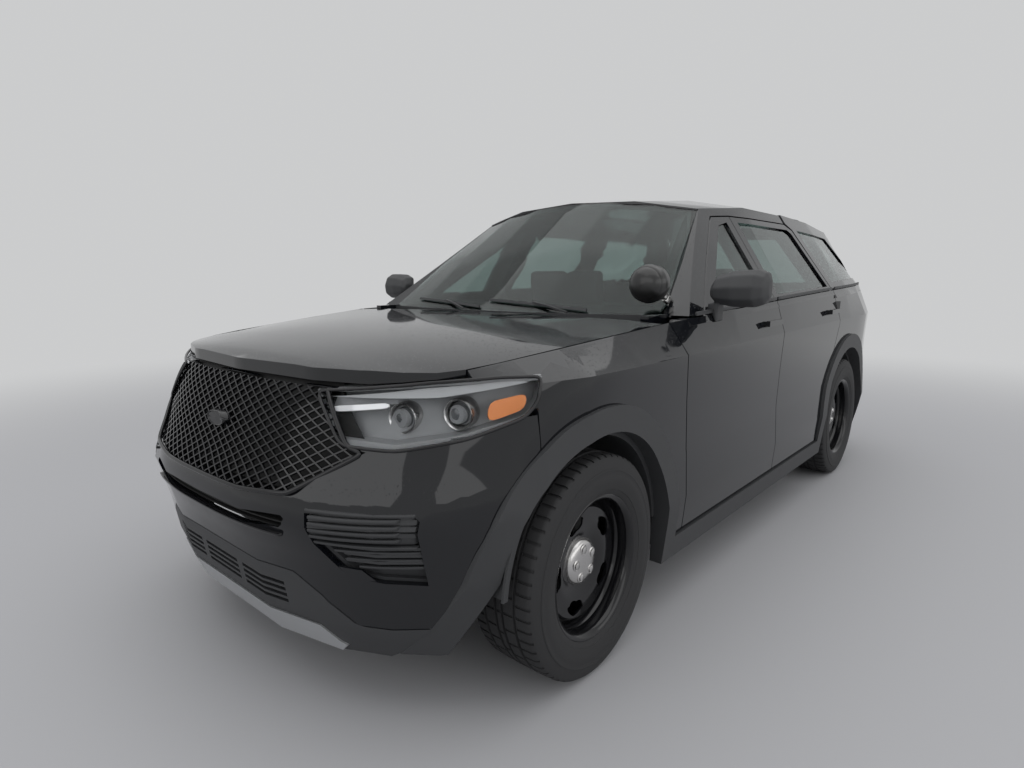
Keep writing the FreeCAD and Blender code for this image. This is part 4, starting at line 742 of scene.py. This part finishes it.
def tube_along(bm, points, radius, closed=False):
    """Round bar through points: a circle at each, square to the path, bridged to the next."""
    rings = []
    last = len(points) - 1
    for k, point in enumerate(points):
        a = points[k - 1] if k or closed else points[0]
        b = points[(k + 1) % len(points)] if k < last or closed else points[last]
        turn = (b - a).to_track_quat("Z", "X").to_matrix().to_4x4()
        ends = not closed and k in (0, last)
        made = bmesh.ops.create_circle(bm, cap_ends=ends, segments=12, radius=radius)["verts"]
        bmesh.ops.transform(bm, matrix=Matrix.Translation(point) @ turn, verts=made)
        rings.append(list({e for v in made for e in v.link_edges}))
    for one, other in zip(rings, rings[1:] + (rings[:1] if closed else [])):
        bmesh.ops.bridge_loops(bm, edges=one + other)


def thickened(bm, thickness):
    """Turns a sheet's faces forwards and gives it depth."""
    bmesh.ops.recalc_face_normals(bm, faces=bm.faces)
    if sum(f.normal.x * f.calc_area() for f in bm.faces) < 0:
        bmesh.ops.reverse_faces(bm, faces=bm.faces)
    bmesh.ops.solidify(bm, geom=bm.faces, thickness=thickness)


print("nose tip x at the bar: %.3f" % nose_at(0.0, 0.65))

# %% [markdown]
# The grille is a moulded net of fine crossing bars. One diamond is repeated into rows, every cell is inset,
# and the cell middles are deleted, which leaves the bars. The flat net is trimmed to the grille's outline
# with bisecting planes, laid onto the nose and only then given its depth, so that the depth is the same all
# over. A round bar frames its lower edge and its sides, a near-black sheet behind it is painted shade for
# the dark inside of the opening, and a bare oval seat in front carries no badge.

# %% Grille net, frame, painted shade sheet and bare oval seat
PITCH, RISE, NET_BAR = 0.05, 0.0285, 0.0042
OVAL_Z = 0.885
SLANTED_SIDE = ((0.455, 0.737), (0.634, 0.86))
NET_LINE = [(-0.476, 1.022), (-0.66, 0.772), (-0.455, 0.737), (-0.25, 0.72), (0.25, 0.72), (0.455, 0.737),
            (0.66, 0.772), (0.476, 1.022), (0.3, 1.028), (-0.3, 1.028)]
FRAME_HALF = [(0.476, 1.022), (0.588, 0.872), (0.636, 0.86), (0.455, 0.735), (0.25, 0.718)]
SHADE_SHEET_LINE = [(-0.62, 0.862), (-0.455, 0.733), (0.455, 0.733), (0.62, 0.862), (0.48, 1.034),
                (-0.48, 1.034)]
OVAL_SEAT = [(-0.03, 0.0005), (-0.03, 0.048), (0.004, 0.048), (0.01, 0.0455), (0.0125, 0.0425),
             (0.0115, 0.0395), (0.0095, 0.037), (0.0095, 0.02), (0.01, 0.0005)]


def repeated(bm, count, offset):
    """Copies a mesh so many times, the k-th copy moved by offset(k)."""
    geom = everything(bm)
    for k in range(1, count + 1):
        bmesh.ops.translate(bm, verts=new_verts(bmesh.ops.duplicate(bm, geom=geom)), vec=offset(k))


def flat_diamonds(reach, low, high):
    """Rows of diamonds that touch, in the YZ plane."""
    bm = bmesh.new()
    bmesh.ops.create_circle(bm, cap_ends=True, segments=4, radius=0.5)
    bmesh.ops.transform(bm, matrix=TO_FRONT, verts=bm.verts)
    bmesh.ops.scale(bm, verts=bm.verts, vec=(1, PITCH, RISE))
    columns = int(reach / PITCH) + 1
    shifted(bm, (0, -columns * PITCH, low))
    repeated(bm, 2 * columns, lambda k: (0, k * PITCH, 0))
    repeated(bm, int(2 * (high - low) / RISE) + 1, lambda k: (0, (k % 2) * PITCH / 2, k * RISE / 2))
    bmesh.ops.remove_doubles(bm, verts=bm.verts, dist=0.0001)
    return bm


net_ys, net_zs = zip(*NET_LINE)
net = flat_diamonds(max(net_ys), min(net_zs), max(net_zs))
net_cells = net.faces[:]
bmesh.ops.inset_individual(net, faces=net_cells, thickness=NET_BAR / 2, use_even_offset=True)
bmesh.ops.delete(net, geom=net_cells, context="FACES")
inside_outline(net, NET_LINE)
(y0, z0), (y1, z1) = SLANTED_SIDE
edge = Vector((0, y1 - y0, z1 - z0)).normalized()
for side in (1, -1):
    sliced(net, (0, side * y0, z0), (0, side * edge.z, -edge.y), True)
onto_nose(net, 0.01)
thickened(net, 0.01)
grille_net = make_piece(net, "grille_net", "body", gloss_trim, ("grille",))

frame_bm = bmesh.new()
frame_flat = resampled(FRAME_HALF + [(-y, z) for y, z in reversed(FRAME_HALF)], 0.012, 3, closed=False)
tube_along(frame_bm, [Vector((nose_at(y, z, 0.003), y, z)) for y, z in frame_flat], 0.0075)
make_piece(frame_bm, "grille_frame", "body", gloss_trim, ("grille",), 50)

# Painted shade: a near-black sheet behind the net stands for the darkness inside the grille opening.
shade_sheet_bm = flat_grid(40, 12, 1.26, 0.33, 0, 0.872)
inside_outline(shade_sheet_bm, SHADE_SHEET_LINE)
onto_nose(shade_sheet_bm, 0.04)
thickened(shade_sheet_bm, 0.004)
make_piece(shade_sheet_bm, "grille_painted_shade", "body", frit_and_painted_shade, ("grille",))

oval_bm = facing_forwards(OVAL_SEAT, 72)
bmesh.ops.scale(oval_bm, verts=oval_bm.verts, vec=(1, 1.3, 0.56))
shifted(oval_bm, (nose_at(0, OVAL_Z) - 0.008, 0, OVAL_Z))
make_piece(oval_bm, "grille_oval_seat", "body", gloss_trim, ("grille",), 32)
print("net faces:", len(grille_net.data.polygons))

# %% [markdown]
# A headlamp is drawn on a slanted plane across the corner and wrapped round the nose: each flat point (s,
# z) is moved to where that slanted plane meets the skin. The grey bowl and the clear cover are CAD pieces.
# Between them go an upper panel, a light bar, two projectors and the amber turn lamp at the outer end, and
# a black rim runs round the cover's edge.

# %% Headlamps
LAMP = [(-1.334, 1.017), (-1.257, 0.877), (-1.1, 0.868), (-0.9, 0.897), (-0.729, 0.944), (-0.69, 0.985),
        (-0.677, 1.056), (-0.803, 1.06), (-1.0, 1.05)]
TURN_LAMP = [(-0.832, 0.996), (-0.715, 1.012), (-0.722, 0.966), (-0.838, 0.938)]
UPPER_PANEL = [(-1.318, 1.006), (-1.01, 1.04), (-0.8, 1.05), (-0.7, 1.046), (-0.7, 1.018), (-0.83, 1.016),
               (-1.01, 1.01), (-1.3, 0.978)]
LIGHT_BAR = [(-1.29, 0.966), (-1.11, 0.985), (-1.112, 0.999), (-1.298, 0.981)]
PROJECTORS = ((2.196, 0.668, 0.945), (2.094, 0.79, 0.957))
PROJECTOR_TURN = 0.3
BEZEL = [(-0.05, 0.03), (-0.02, 0.033), (0.0, 0.04), (0.004, 0.044), (0.001, 0.0455), (-0.05, 0.0455)]
LENS = [(-0.03, 0.0005), (-0.03, 0.03), (-0.012, 0.03), (-0.004, 0.024), (0.002, 0.015), (0.005, 0.0005)]
PATCH_STEP = 0.015


def corner_at(s, z, depth=0.0):
    """Point of the left front corner with (y - x) / root 2 = s, moved inwards by depth."""
    wide = HALF_WIDTH - smooth(z, INSET)
    start = HALF_LENGTH - smooth(z, NOSE) - NOSE_SWEEP
    low, high = 0.0, math.pi / 2
    for _ in range(30):
        mid = (low + high) / 2
        x = start + NOSE_SWEEP * max(math.cos(mid), 0) ** (2 / NOSE_POWER)
        y = wide * math.sin(mid) ** (2 / NOSE_POWER)
        if (y - x) * math.sqrt(0.5) < s:
            low = mid
        else:
            high = mid
    p = Vector((x, y, z))
    return p - field_normal(side_field, p) * depth


def corner_patch(outline, depth, thickness):
    """Curved sheet under the skin of both corners, inside a convex outline in (s, z)."""
    points = resampled(outline, PATCH_STEP, 2)
    ss, zs = [p[0] for p in points], [p[1] for p in points]
    width, height = max(ss) - min(ss), max(zs) - min(zs)
    bm = flat_grid(max(int(width / PATCH_STEP), 2), max(int(height / PATCH_STEP), 2), width, height,
                   (max(ss) + min(ss)) / 2, (max(zs) + min(zs)) / 2)
    area = sum(a[0] * b[1] - b[0] * a[1] for a, b in zip(points, points[1:] + points[:1]))
    inside_outline(bm, points if area > 0 else points[::-1])
    for vert in bm.verts:
        vert.co = corner_at(vert.co.y, vert.co.z, depth - vert.co.x)
    thickened(bm, thickness)
    both_sides(bm)
    return bm


rim_ring = bmesh.new()
tube_along(rim_ring, [corner_at(s, z, 0.001) for s, z in resampled(LAMP, 0.014, 3)], 0.0055, closed=True)
both_sides(rim_ring)
make_piece(rim_ring, "lamp_rims", "body", gloss_trim, ())
make_piece(corner_patch(TURN_LAMP, 0.016, 0.004), "turn_lamps", "body", amber_plastic)
make_piece(corner_patch(UPPER_PANEL, 0.014, 0.004), "lamp_upper_panels", "body", lamp_white)
make_piece(corner_patch(LIGHT_BAR, 0.01, 0.01), "light_bars", "body", bar_white)
for name, profile, material, angle in (
    ("projector_bezels", BEZEL, bright_steel, 32),
    ("projector_lenses", LENS, projector_glass, 50),
):
    pair = bmesh.new()
    for place in PROJECTORS:
        joined(pair, facing_forwards(profile, 48, place, PROJECTOR_TURN))
    both_sides(pair)
    make_piece(pair, name, "body", material, angle=angle)
print("lamp corner at x %.3f" % corner_at(*LAMP[4]).x)

# %% [markdown]
# Below the grille run a slot with a lip and a near-black back of painted shade, and at each side a fog lamp
# pod with four ribs, three louvres under it and a sweep in body paint. Each bar has rounded edges and is cut
# into short lengths, so that it can bend with the nose.

# %% Bars of the bumper
FORWARDS, LEFTWARDS = Vector((1, 0, 0)), Vector((0, 1, 0))
SWEEP = [(0.61, 0.499), (0.788, 0.486), (0.788, 0.52), (0.65, 0.528), (0.59, 0.592), (0.543, 0.598)]


def bar_on_nose(bm, y0, y1, z0, z1, low, high, bevel, rise=0.0):
    """Bar on the nose from y0 to y1 between two heights over the skin. Rise lifts its outer end."""
    one = bmesh.new()
    bead_box(one, (low, y0, z0), (high, y1, z1), bevel)
    cut_across(one, LEFTWARDS, y0, y1, 0.02)
    for vert in one.verts:
        vert.co.z += rise * max((vert.co.y - y0) / (y1 - y0), 0.0)
    onto_nose(one, 0.0)
    joined(bm, one)


pod_bm = bmesh.new()
bar_on_nose(pod_bm, 0.522, 0.776, 0.612, 0.7, -0.04, -0.016, 0.006)
for z in (0.619, 0.638, 0.657, 0.676):
    bar_on_nose(pod_bm, 0.53, 0.75, z, z + 0.0105, -0.02, -0.003, 0.003, 0.004)
for z in (0.6, 0.694):
    bar_on_nose(pod_bm, 0.516, 0.782, z, z + 0.01, -0.034, -0.006, 0.004)
for k, z in enumerate((0.532, 0.556, 0.58)):
    bar_on_nose(pod_bm, 0.64 - 0.026 * k, 0.786, z, z + 0.009, -0.03, -0.01, 0.003, 0.003)
both_sides(pod_bm)
fog_pods = make_piece(pod_bm, "fog_pod_ribs", "body", matte_trim, (), 32)

sweep_bm = flat_grid(16, 12, 0.28, 0.13, 0.66, 0.545)
inside_outline(sweep_bm, SWEEP)
for vert in sweep_bm.verts:
    vert.co.x = nose_at(vert.co.y, vert.co.z, 0.004 + 0.05 * max(vert.co.z - 0.5, 0))
thickened(sweep_bm, 0.006)
both_sides(sweep_bm)
make_piece(sweep_bm, "fog_painted_sweeps", "body", black_paint, ())

lip_bm, slot_shade_bm = bmesh.new(), bmesh.new()
bar_on_nose(lip_bm, -0.428, 0.428, 0.6, 0.611, -0.03, 0.0015, 0.004)
make_piece(lip_bm, "slot_lower_lip", "body", gloss_trim, (), 32)
# Painted shade: a near-black back plate and two slats fill the slot with the darkness of the opening.
bar_on_nose(slot_shade_bm, -0.43, 0.43, 0.612, 0.664, -0.06, -0.045, 0.002)
for z in (0.622, 0.64):
    bar_on_nose(slot_shade_bm, -0.425, 0.425, z, z + 0.005, -0.05, -0.022, 0.001)
make_piece(slot_shade_bm, "slot_painted_shade", "body", frit_and_painted_shade, angle=32)
print("bumper bars:", len(fog_pods.data.polygons))

# %% [markdown]
# Mirror heads and seats are soft in outline, one because it is moulded and one because it is padded. Both
# start from the CAD solid: a voxel remesh gives it an even skin, and smoothing steps round what was square.

# %% Mirror heads and seats
MIRROR_VOXEL, SEAT_VOXEL = 0.004, 0.011
EASING_STEPS = 14


def softened(name, node, voxel, material):
    """Copy of a CAD node with an even skin and eased corners, its modifiers already applied."""
    rough = placed("rough", merged_mesh(node))
    skin = rough.modifiers.new("skin", "REMESH")
    skin.mode = "VOXEL"
    skin.voxel_size = voxel
    ease = rough.modifiers.new("ease", "SMOOTH")
    ease.factor = 0.5
    ease.iterations = EASING_STEPS
    mesh = applied(rough)
    mesh.polygons.foreach_set("use_smooth", [True] * len(mesh.polygons))
    mesh.materials.clear()
    mesh.materials.append(material)
    return fastened(placed(name, mesh), nodes[node]["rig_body"], (node,))


for side in ("left", "right"):
    head = softened("mirror_head_" + side, "mirror_" + side, MIRROR_VOXEL, matte_trim)
seat_pads = softened("seat_cushions", "seats", SEAT_VOXEL, seat_cloth)
print("seat faces:", len(seat_pads.data.polygons), "mirror faces:", len(head.data.polygons))

# %% [markdown]
# The cabin shows through the glass: a round steering wheel with an airbag pad, three spokes and a shaft, an
# instrument hood, four air vents, a console and a screen in the middle of the dashboard.

# %% Steering wheel and dashboard
STEERING_HUB = (0.43, 0.37, 1.01)
STEERING_RAKE = math.radians(24)
RING_R = 0.188
SHAFT = [(0.0, 0.0005), (0.0, 0.0135), (0.255, 0.0135), (0.255, 0.0005)]
SPOKES = [((-0.008, -0.182, -0.014), (0.006, -0.06, 0.018)),
          ((-0.008, 0.06, -0.014), (0.006, 0.182, 0.018)),
          ((-0.008, -0.022, -0.184), (0.006, 0.022, -0.05))]

wheel_bm = bmesh.new()
bmesh.ops.create_circle(wheel_bm, segments=16, radius=0.0118)
bmesh.ops.transform(wheel_bm, matrix=TO_FRONT, verts=wheel_bm.verts)
rotated(wheel_bm, math.pi / 2, "Z")
shifted(wheel_bm, (0, 0, RING_R))
bmesh.ops.spin(wheel_bm, geom=everything(wheel_bm), cent=(0, 0, 0), axis=(1, 0, 0), angle=math.tau, steps=72,
               use_merge=True)
bead_box(wheel_bm, (-0.024, -0.072, -0.055), (0.012, 0.072, 0.045), 0.014, 4)
for low, high in SPOKES:
    bead_box(wheel_bm, low, high, 0.005, 3)
joined(wheel_bm, facing_forwards(SHAFT, 32))
rotated(wheel_bm, STEERING_RAKE, "Y")
shifted(wheel_bm, STEERING_HUB)
steering = make_piece(wheel_bm, "steering_wheel_rim", "steering", soft_black, ("steering_wheel",),
                      34)

dash_bm, face_bm = bmesh.new(), bmesh.new()
bead_box(dash_bm, (0.64, 0.2, 1.06), (0.8, 0.54, 1.15), 0.022, 4)
bead_box(dash_bm, (0.618, -0.13, 0.985), (0.66, 0.13, 1.15), 0.01, 3)
bead_box(dash_bm, (0.56, -0.12, 0.52), (0.7, 0.12, 0.9), 0.02, 3)
for y in (-0.66, -0.2, 0.2, 0.66):
    bead_box(dash_bm, (0.612, y - 0.062, 0.975), (0.64, y + 0.062, 1.03), 0.006)
make_piece(dash_bm, "dash_hood_and_console", "body", soft_black, angle=32)
bead_box(face_bm, (0.614, -0.118, 1.0), (0.6185, 0.118, 1.138), 0.001, 1)
make_piece(face_bm, "dash_screen", "body", gloss_trim, angle=32)
print("steering wheel faces:", len(steering.data.polygons))

# %% [markdown]
# Black ceramic frit hides the glue round a windscreen, and a matte strip closes the gap where each side
# window meets the belt line. The strips bend with that line. Those on the doors move with their own door,
# and those under the quarter windows stay with the body.

# %% Frit and belt strips
BELT_STRIPS = [
    ("belt_strip_front_left", -0.055, 0.85, "door_fl", (1,)),
    ("belt_strip_front_right", -0.055, 0.85, "door_fr", (-1,)),
    ("belt_strip_rear_left", -1.085, -0.08, "door_rl", (1,)),
    ("belt_strip_rear_right", -1.085, -0.08, "door_rr", (-1,)),
    ("belt_strip_quarter", -2.02, -1.15, "body", (1, -1)),
]


def mix(a, b, share):
    """From a to b by a share."""
    return a * (1 - share) + b * share


def screen_point(share, climb, depth):
    """Point of the windscreen; climb runs from its base to its top, share across it."""
    s = share * share
    x = mix(mix(1.035, 0.905, s), mix(0.33, 0.225, s), climb)
    z = mix(mix(1.165, 1.158, s), mix(1.712, 1.64, s), climb)
    out = 0.06 * climb * (1 - climb) - depth
    return Vector((x + out * 0.6, share * mix(0.81, 0.64, climb), z + out * 0.8))


frit_bm = bmesh.new()
bmesh.ops.create_grid(frit_bm, x_segments=40, y_segments=24, size=1.0)
middles = [(face, face.calc_center_median()) for face in frit_bm.faces]
clear_faces = [face for face, middle in middles if abs(middle.x) < 0.93 and -0.86 < middle.y < 0.9]
bmesh.ops.delete(frit_bm, geom=clear_faces, context="FACES")
for vert in frit_bm.verts:
    vert.co = screen_point(vert.co.x * 0.985, 0.5 + vert.co.y * 0.485, 0.015)
frit = make_piece(frit_bm, "windscreen_frit", "body", frit_and_painted_shade)

for name, x0, x1, body, sides in BELT_STRIPS:
    strip = bmesh.new()
    for side in sides:
        one = bmesh.new()
        bead_box(one, (x0, -0.004, 0.0), (x1, 0.0045, 0.016), 0.002)
        cut_across(one, FORWARDS, x0, x1, 0.08)
        for vert in one.verts:
            vert.co.y = side * (vert.co.y + smooth(vert.co.x, BELT_Y) - 0.003)
            vert.co.z += smooth(vert.co.x, BELT_Z) + 0.004
        joined(strip, one)
    make_piece(strip, name, body, matte_trim, angle=34)
print("frit faces:", len(frit.data.polygons))

# %% [markdown]
# Small parts finish the outside: the spotlight's rounded back and bright bracket, and the exhaust tips.

# %% Spotlight and exhaust tips
SPOT = Vector((0.93, 0.77, 1.298))
STEM_FOOT = Vector((0.806, 0.812, 1.214))
TIP_X, TIP_Y, TIP_Z = -2.5205, 0.56, 0.3
SPOT_BACK = [(0.03, 0.0005), (0.03, 0.069), (0.046, 0.066), (0.06, 0.056), (0.069, 0.041), (0.0745, 0.021),
             (0.076, 0.0005)]
TIP = [(0.0, 0.0335), (0.0, 0.0375), (0.003, 0.0385), (0.09, 0.0382), (0.09, 0.036)]

make_piece(facing_forwards(SPOT_BACK, 64, SPOT), "spotlight_cap", "body", lamp_shell, (), 50)
arm_bm = bmesh.new()
bead_box(arm_bm, (0.074, -0.015, -0.015), (0.104, 0.015, 0.015), 0.005, 3)
bead_box(arm_bm, (0.1, -0.011, -0.02), (0.128, 0.011, 0.012), 0.004, 3)
down_the_stem = (STEM_FOOT - SPOT).to_track_quat("X", "Z").to_matrix()
bmesh.ops.rotate(arm_bm, verts=arm_bm.verts, cent=(0, 0, 0), matrix=down_the_stem)
shifted(arm_bm, SPOT)
make_piece(arm_bm, "spotlight_bracket", "body", bright_steel, angle=34)

tips_bm = bmesh.new()
for y in (-TIP_Y, TIP_Y):
    joined(tips_bm, facing_forwards(TIP, 48, (TIP_X, y, TIP_Z)))
tips = make_piece(tips_bm, "exhaust_tips", "body", bright_steel, angle=34)
print("exhaust tip faces:", len(tips.data.polygons))

# %% [markdown]
# The studio is plain: a pale floor that fades into a pale backdrop, and three large soft lights, one
# overhead, one at the left and one ahead of the nose. The camera, reflections and glass see the backdrop,
# and a brighter sky lights the rest.

# %% Studio
PALE = (0.6, 0.605, 0.61, 1)
SKY = (0.8, 0.81, 0.83, 1)
FADE_FROM, FADE_TO = 3.2, 9.0

bpy.ops.mesh.primitive_plane_add(size=60, location=(0, 0, 0))
floor = bpy.context.object
floor.name = "studio_floor"
floor_finish = finish("studio_pale", (0.36, 0.36, 0.37), 0.65)
floor_tree = floor_finish.node_tree
spot = add(floor_tree, "ShaderNodeTexCoord")
far = add(floor_tree, "ShaderNodeVectorMath", operation="LENGTH")
fade = add(floor_tree, "ShaderNodeMapRange", interpolation_type="SMOOTHSTEP",
           **{"From Min": FADE_FROM, "From Max": FADE_TO})
haze = add(floor_tree, "ShaderNodeEmission", Color=PALE)
blend = add(floor_tree, "ShaderNodeMixShader")
wire(
    floor_tree,
    (spot, "Object", far, 0),
    (far, "Value", fade, "Value"),
    (fade, "Result", blend, "Fac"),
    (floor_tree.nodes["Principled BSDF"], "BSDF", blend, 1),
    (haze, "Emission", blend, 2),
    (blend, "Shader", floor_tree.nodes["Material Output"], "Surface"),
)
floor.data.materials.append(floor_finish)

world = bpy.data.worlds.new("studio_world")
bpy.context.scene.world = world
world.use_nodes = True
sky_tree = world.node_tree
back = sky_tree.nodes["Background"]
back.inputs["Color"].default_value = SKY
back.inputs["Strength"].default_value = 1.0
seen = add(sky_tree, "ShaderNodeBackground", Color=PALE)
rays = add(sky_tree, "ShaderNodeLightPath")
either = add(sky_tree, "ShaderNodeMath", operation="MAXIMUM")
any_of = add(sky_tree, "ShaderNodeMath", operation="MAXIMUM")
choose = add(sky_tree, "ShaderNodeMixShader")
wire(
    sky_tree,
    (rays, "Is Camera Ray", either, 0),
    (rays, "Is Glossy Ray", either, 1),
    (either, "Value", any_of, 0),
    (rays, "Is Transmission Ray", any_of, 1),
    (any_of, "Value", choose, "Fac"),
    (back, "Background", choose, 1),
    (seen, "Background", choose, 2),
    (choose, "Shader", sky_tree.nodes["World Output"], "Surface"),
)


def soft_light(name, place, target, size, watts):
    """Rectangular area light at a place, facing a target."""
    lamp = bpy.data.lights.new(name, "AREA")
    lamp.shape = "RECTANGLE"
    lamp.size, lamp.size_y = size
    lamp.energy = watts
    holder = placed(name, lamp)
    holder.location = place
    holder.rotation_euler = (Vector(target) - Vector(place)).to_track_quat("-Z", "Y").to_euler()


soft_light("overhead", (0.5, 0.5, 6.5), (0, 0, 0), (12.0, 9.0), 260)
soft_light("left_side", (0.5, 8.0, 3.0), (0.3, 0, 0.6), (12.0, 3.0), 90)
soft_light("nose_side", (8.5, 0.5, 3.4), (1.5, 0, 0.6), (9.0, 2.6), 60)
print("lights:", len(bpy.data.lights))

# %% [markdown]
# The camera stands where the photographer did, at the nose's left corner and about 1.35 m up, with a wide
# lens. Its place, angles and lens come from the fit to the photograph, in pixels of a picture 1024 wide and
# 768 high.

# %% Camera
EYE = Vector((3.37675, 1.98418, 1.352))
TURN, DIP, ROLL = 0.7937, 0.1627, -0.0137
PICTURE_WIDE, PICTURE_HIGH = 1024, 768
FOCAL, CENTRE_X, CENTRE_Y = 633.55, 430.31, 377.3
SENSOR = 36

ahead = Vector((-math.cos(TURN) * math.cos(DIP), -math.sin(TURN) * math.cos(DIP), -math.sin(DIP)))
right = ahead.cross(Vector((0, 0, 1))).normalized()
above = right.cross(ahead)
right_r = right * math.cos(ROLL) + above * math.sin(ROLL)
above_r = above * math.cos(ROLL) - right * math.sin(ROLL)
camera_data = bpy.data.cameras.new("photo_camera")
camera_data.lens = FOCAL / PICTURE_WIDE * SENSOR
camera_data.sensor_width = SENSOR
camera_data.shift_x = (PICTURE_WIDE / 2 - CENTRE_X) / PICTURE_WIDE
camera_data.shift_y = -(PICTURE_HIGH / 2 - CENTRE_Y) / PICTURE_WIDE
camera = placed("photo_camera", camera_data)
columns = Matrix((right_r, above_r, -ahead)).transposed().to_4x4()
camera.matrix_world = Matrix.Translation(EYE) @ columns
bpy.context.scene.camera = camera
bpy.context.scene.view_settings.view_transform = "Standard"
print("camera lens %.2f mm" % camera_data.lens)
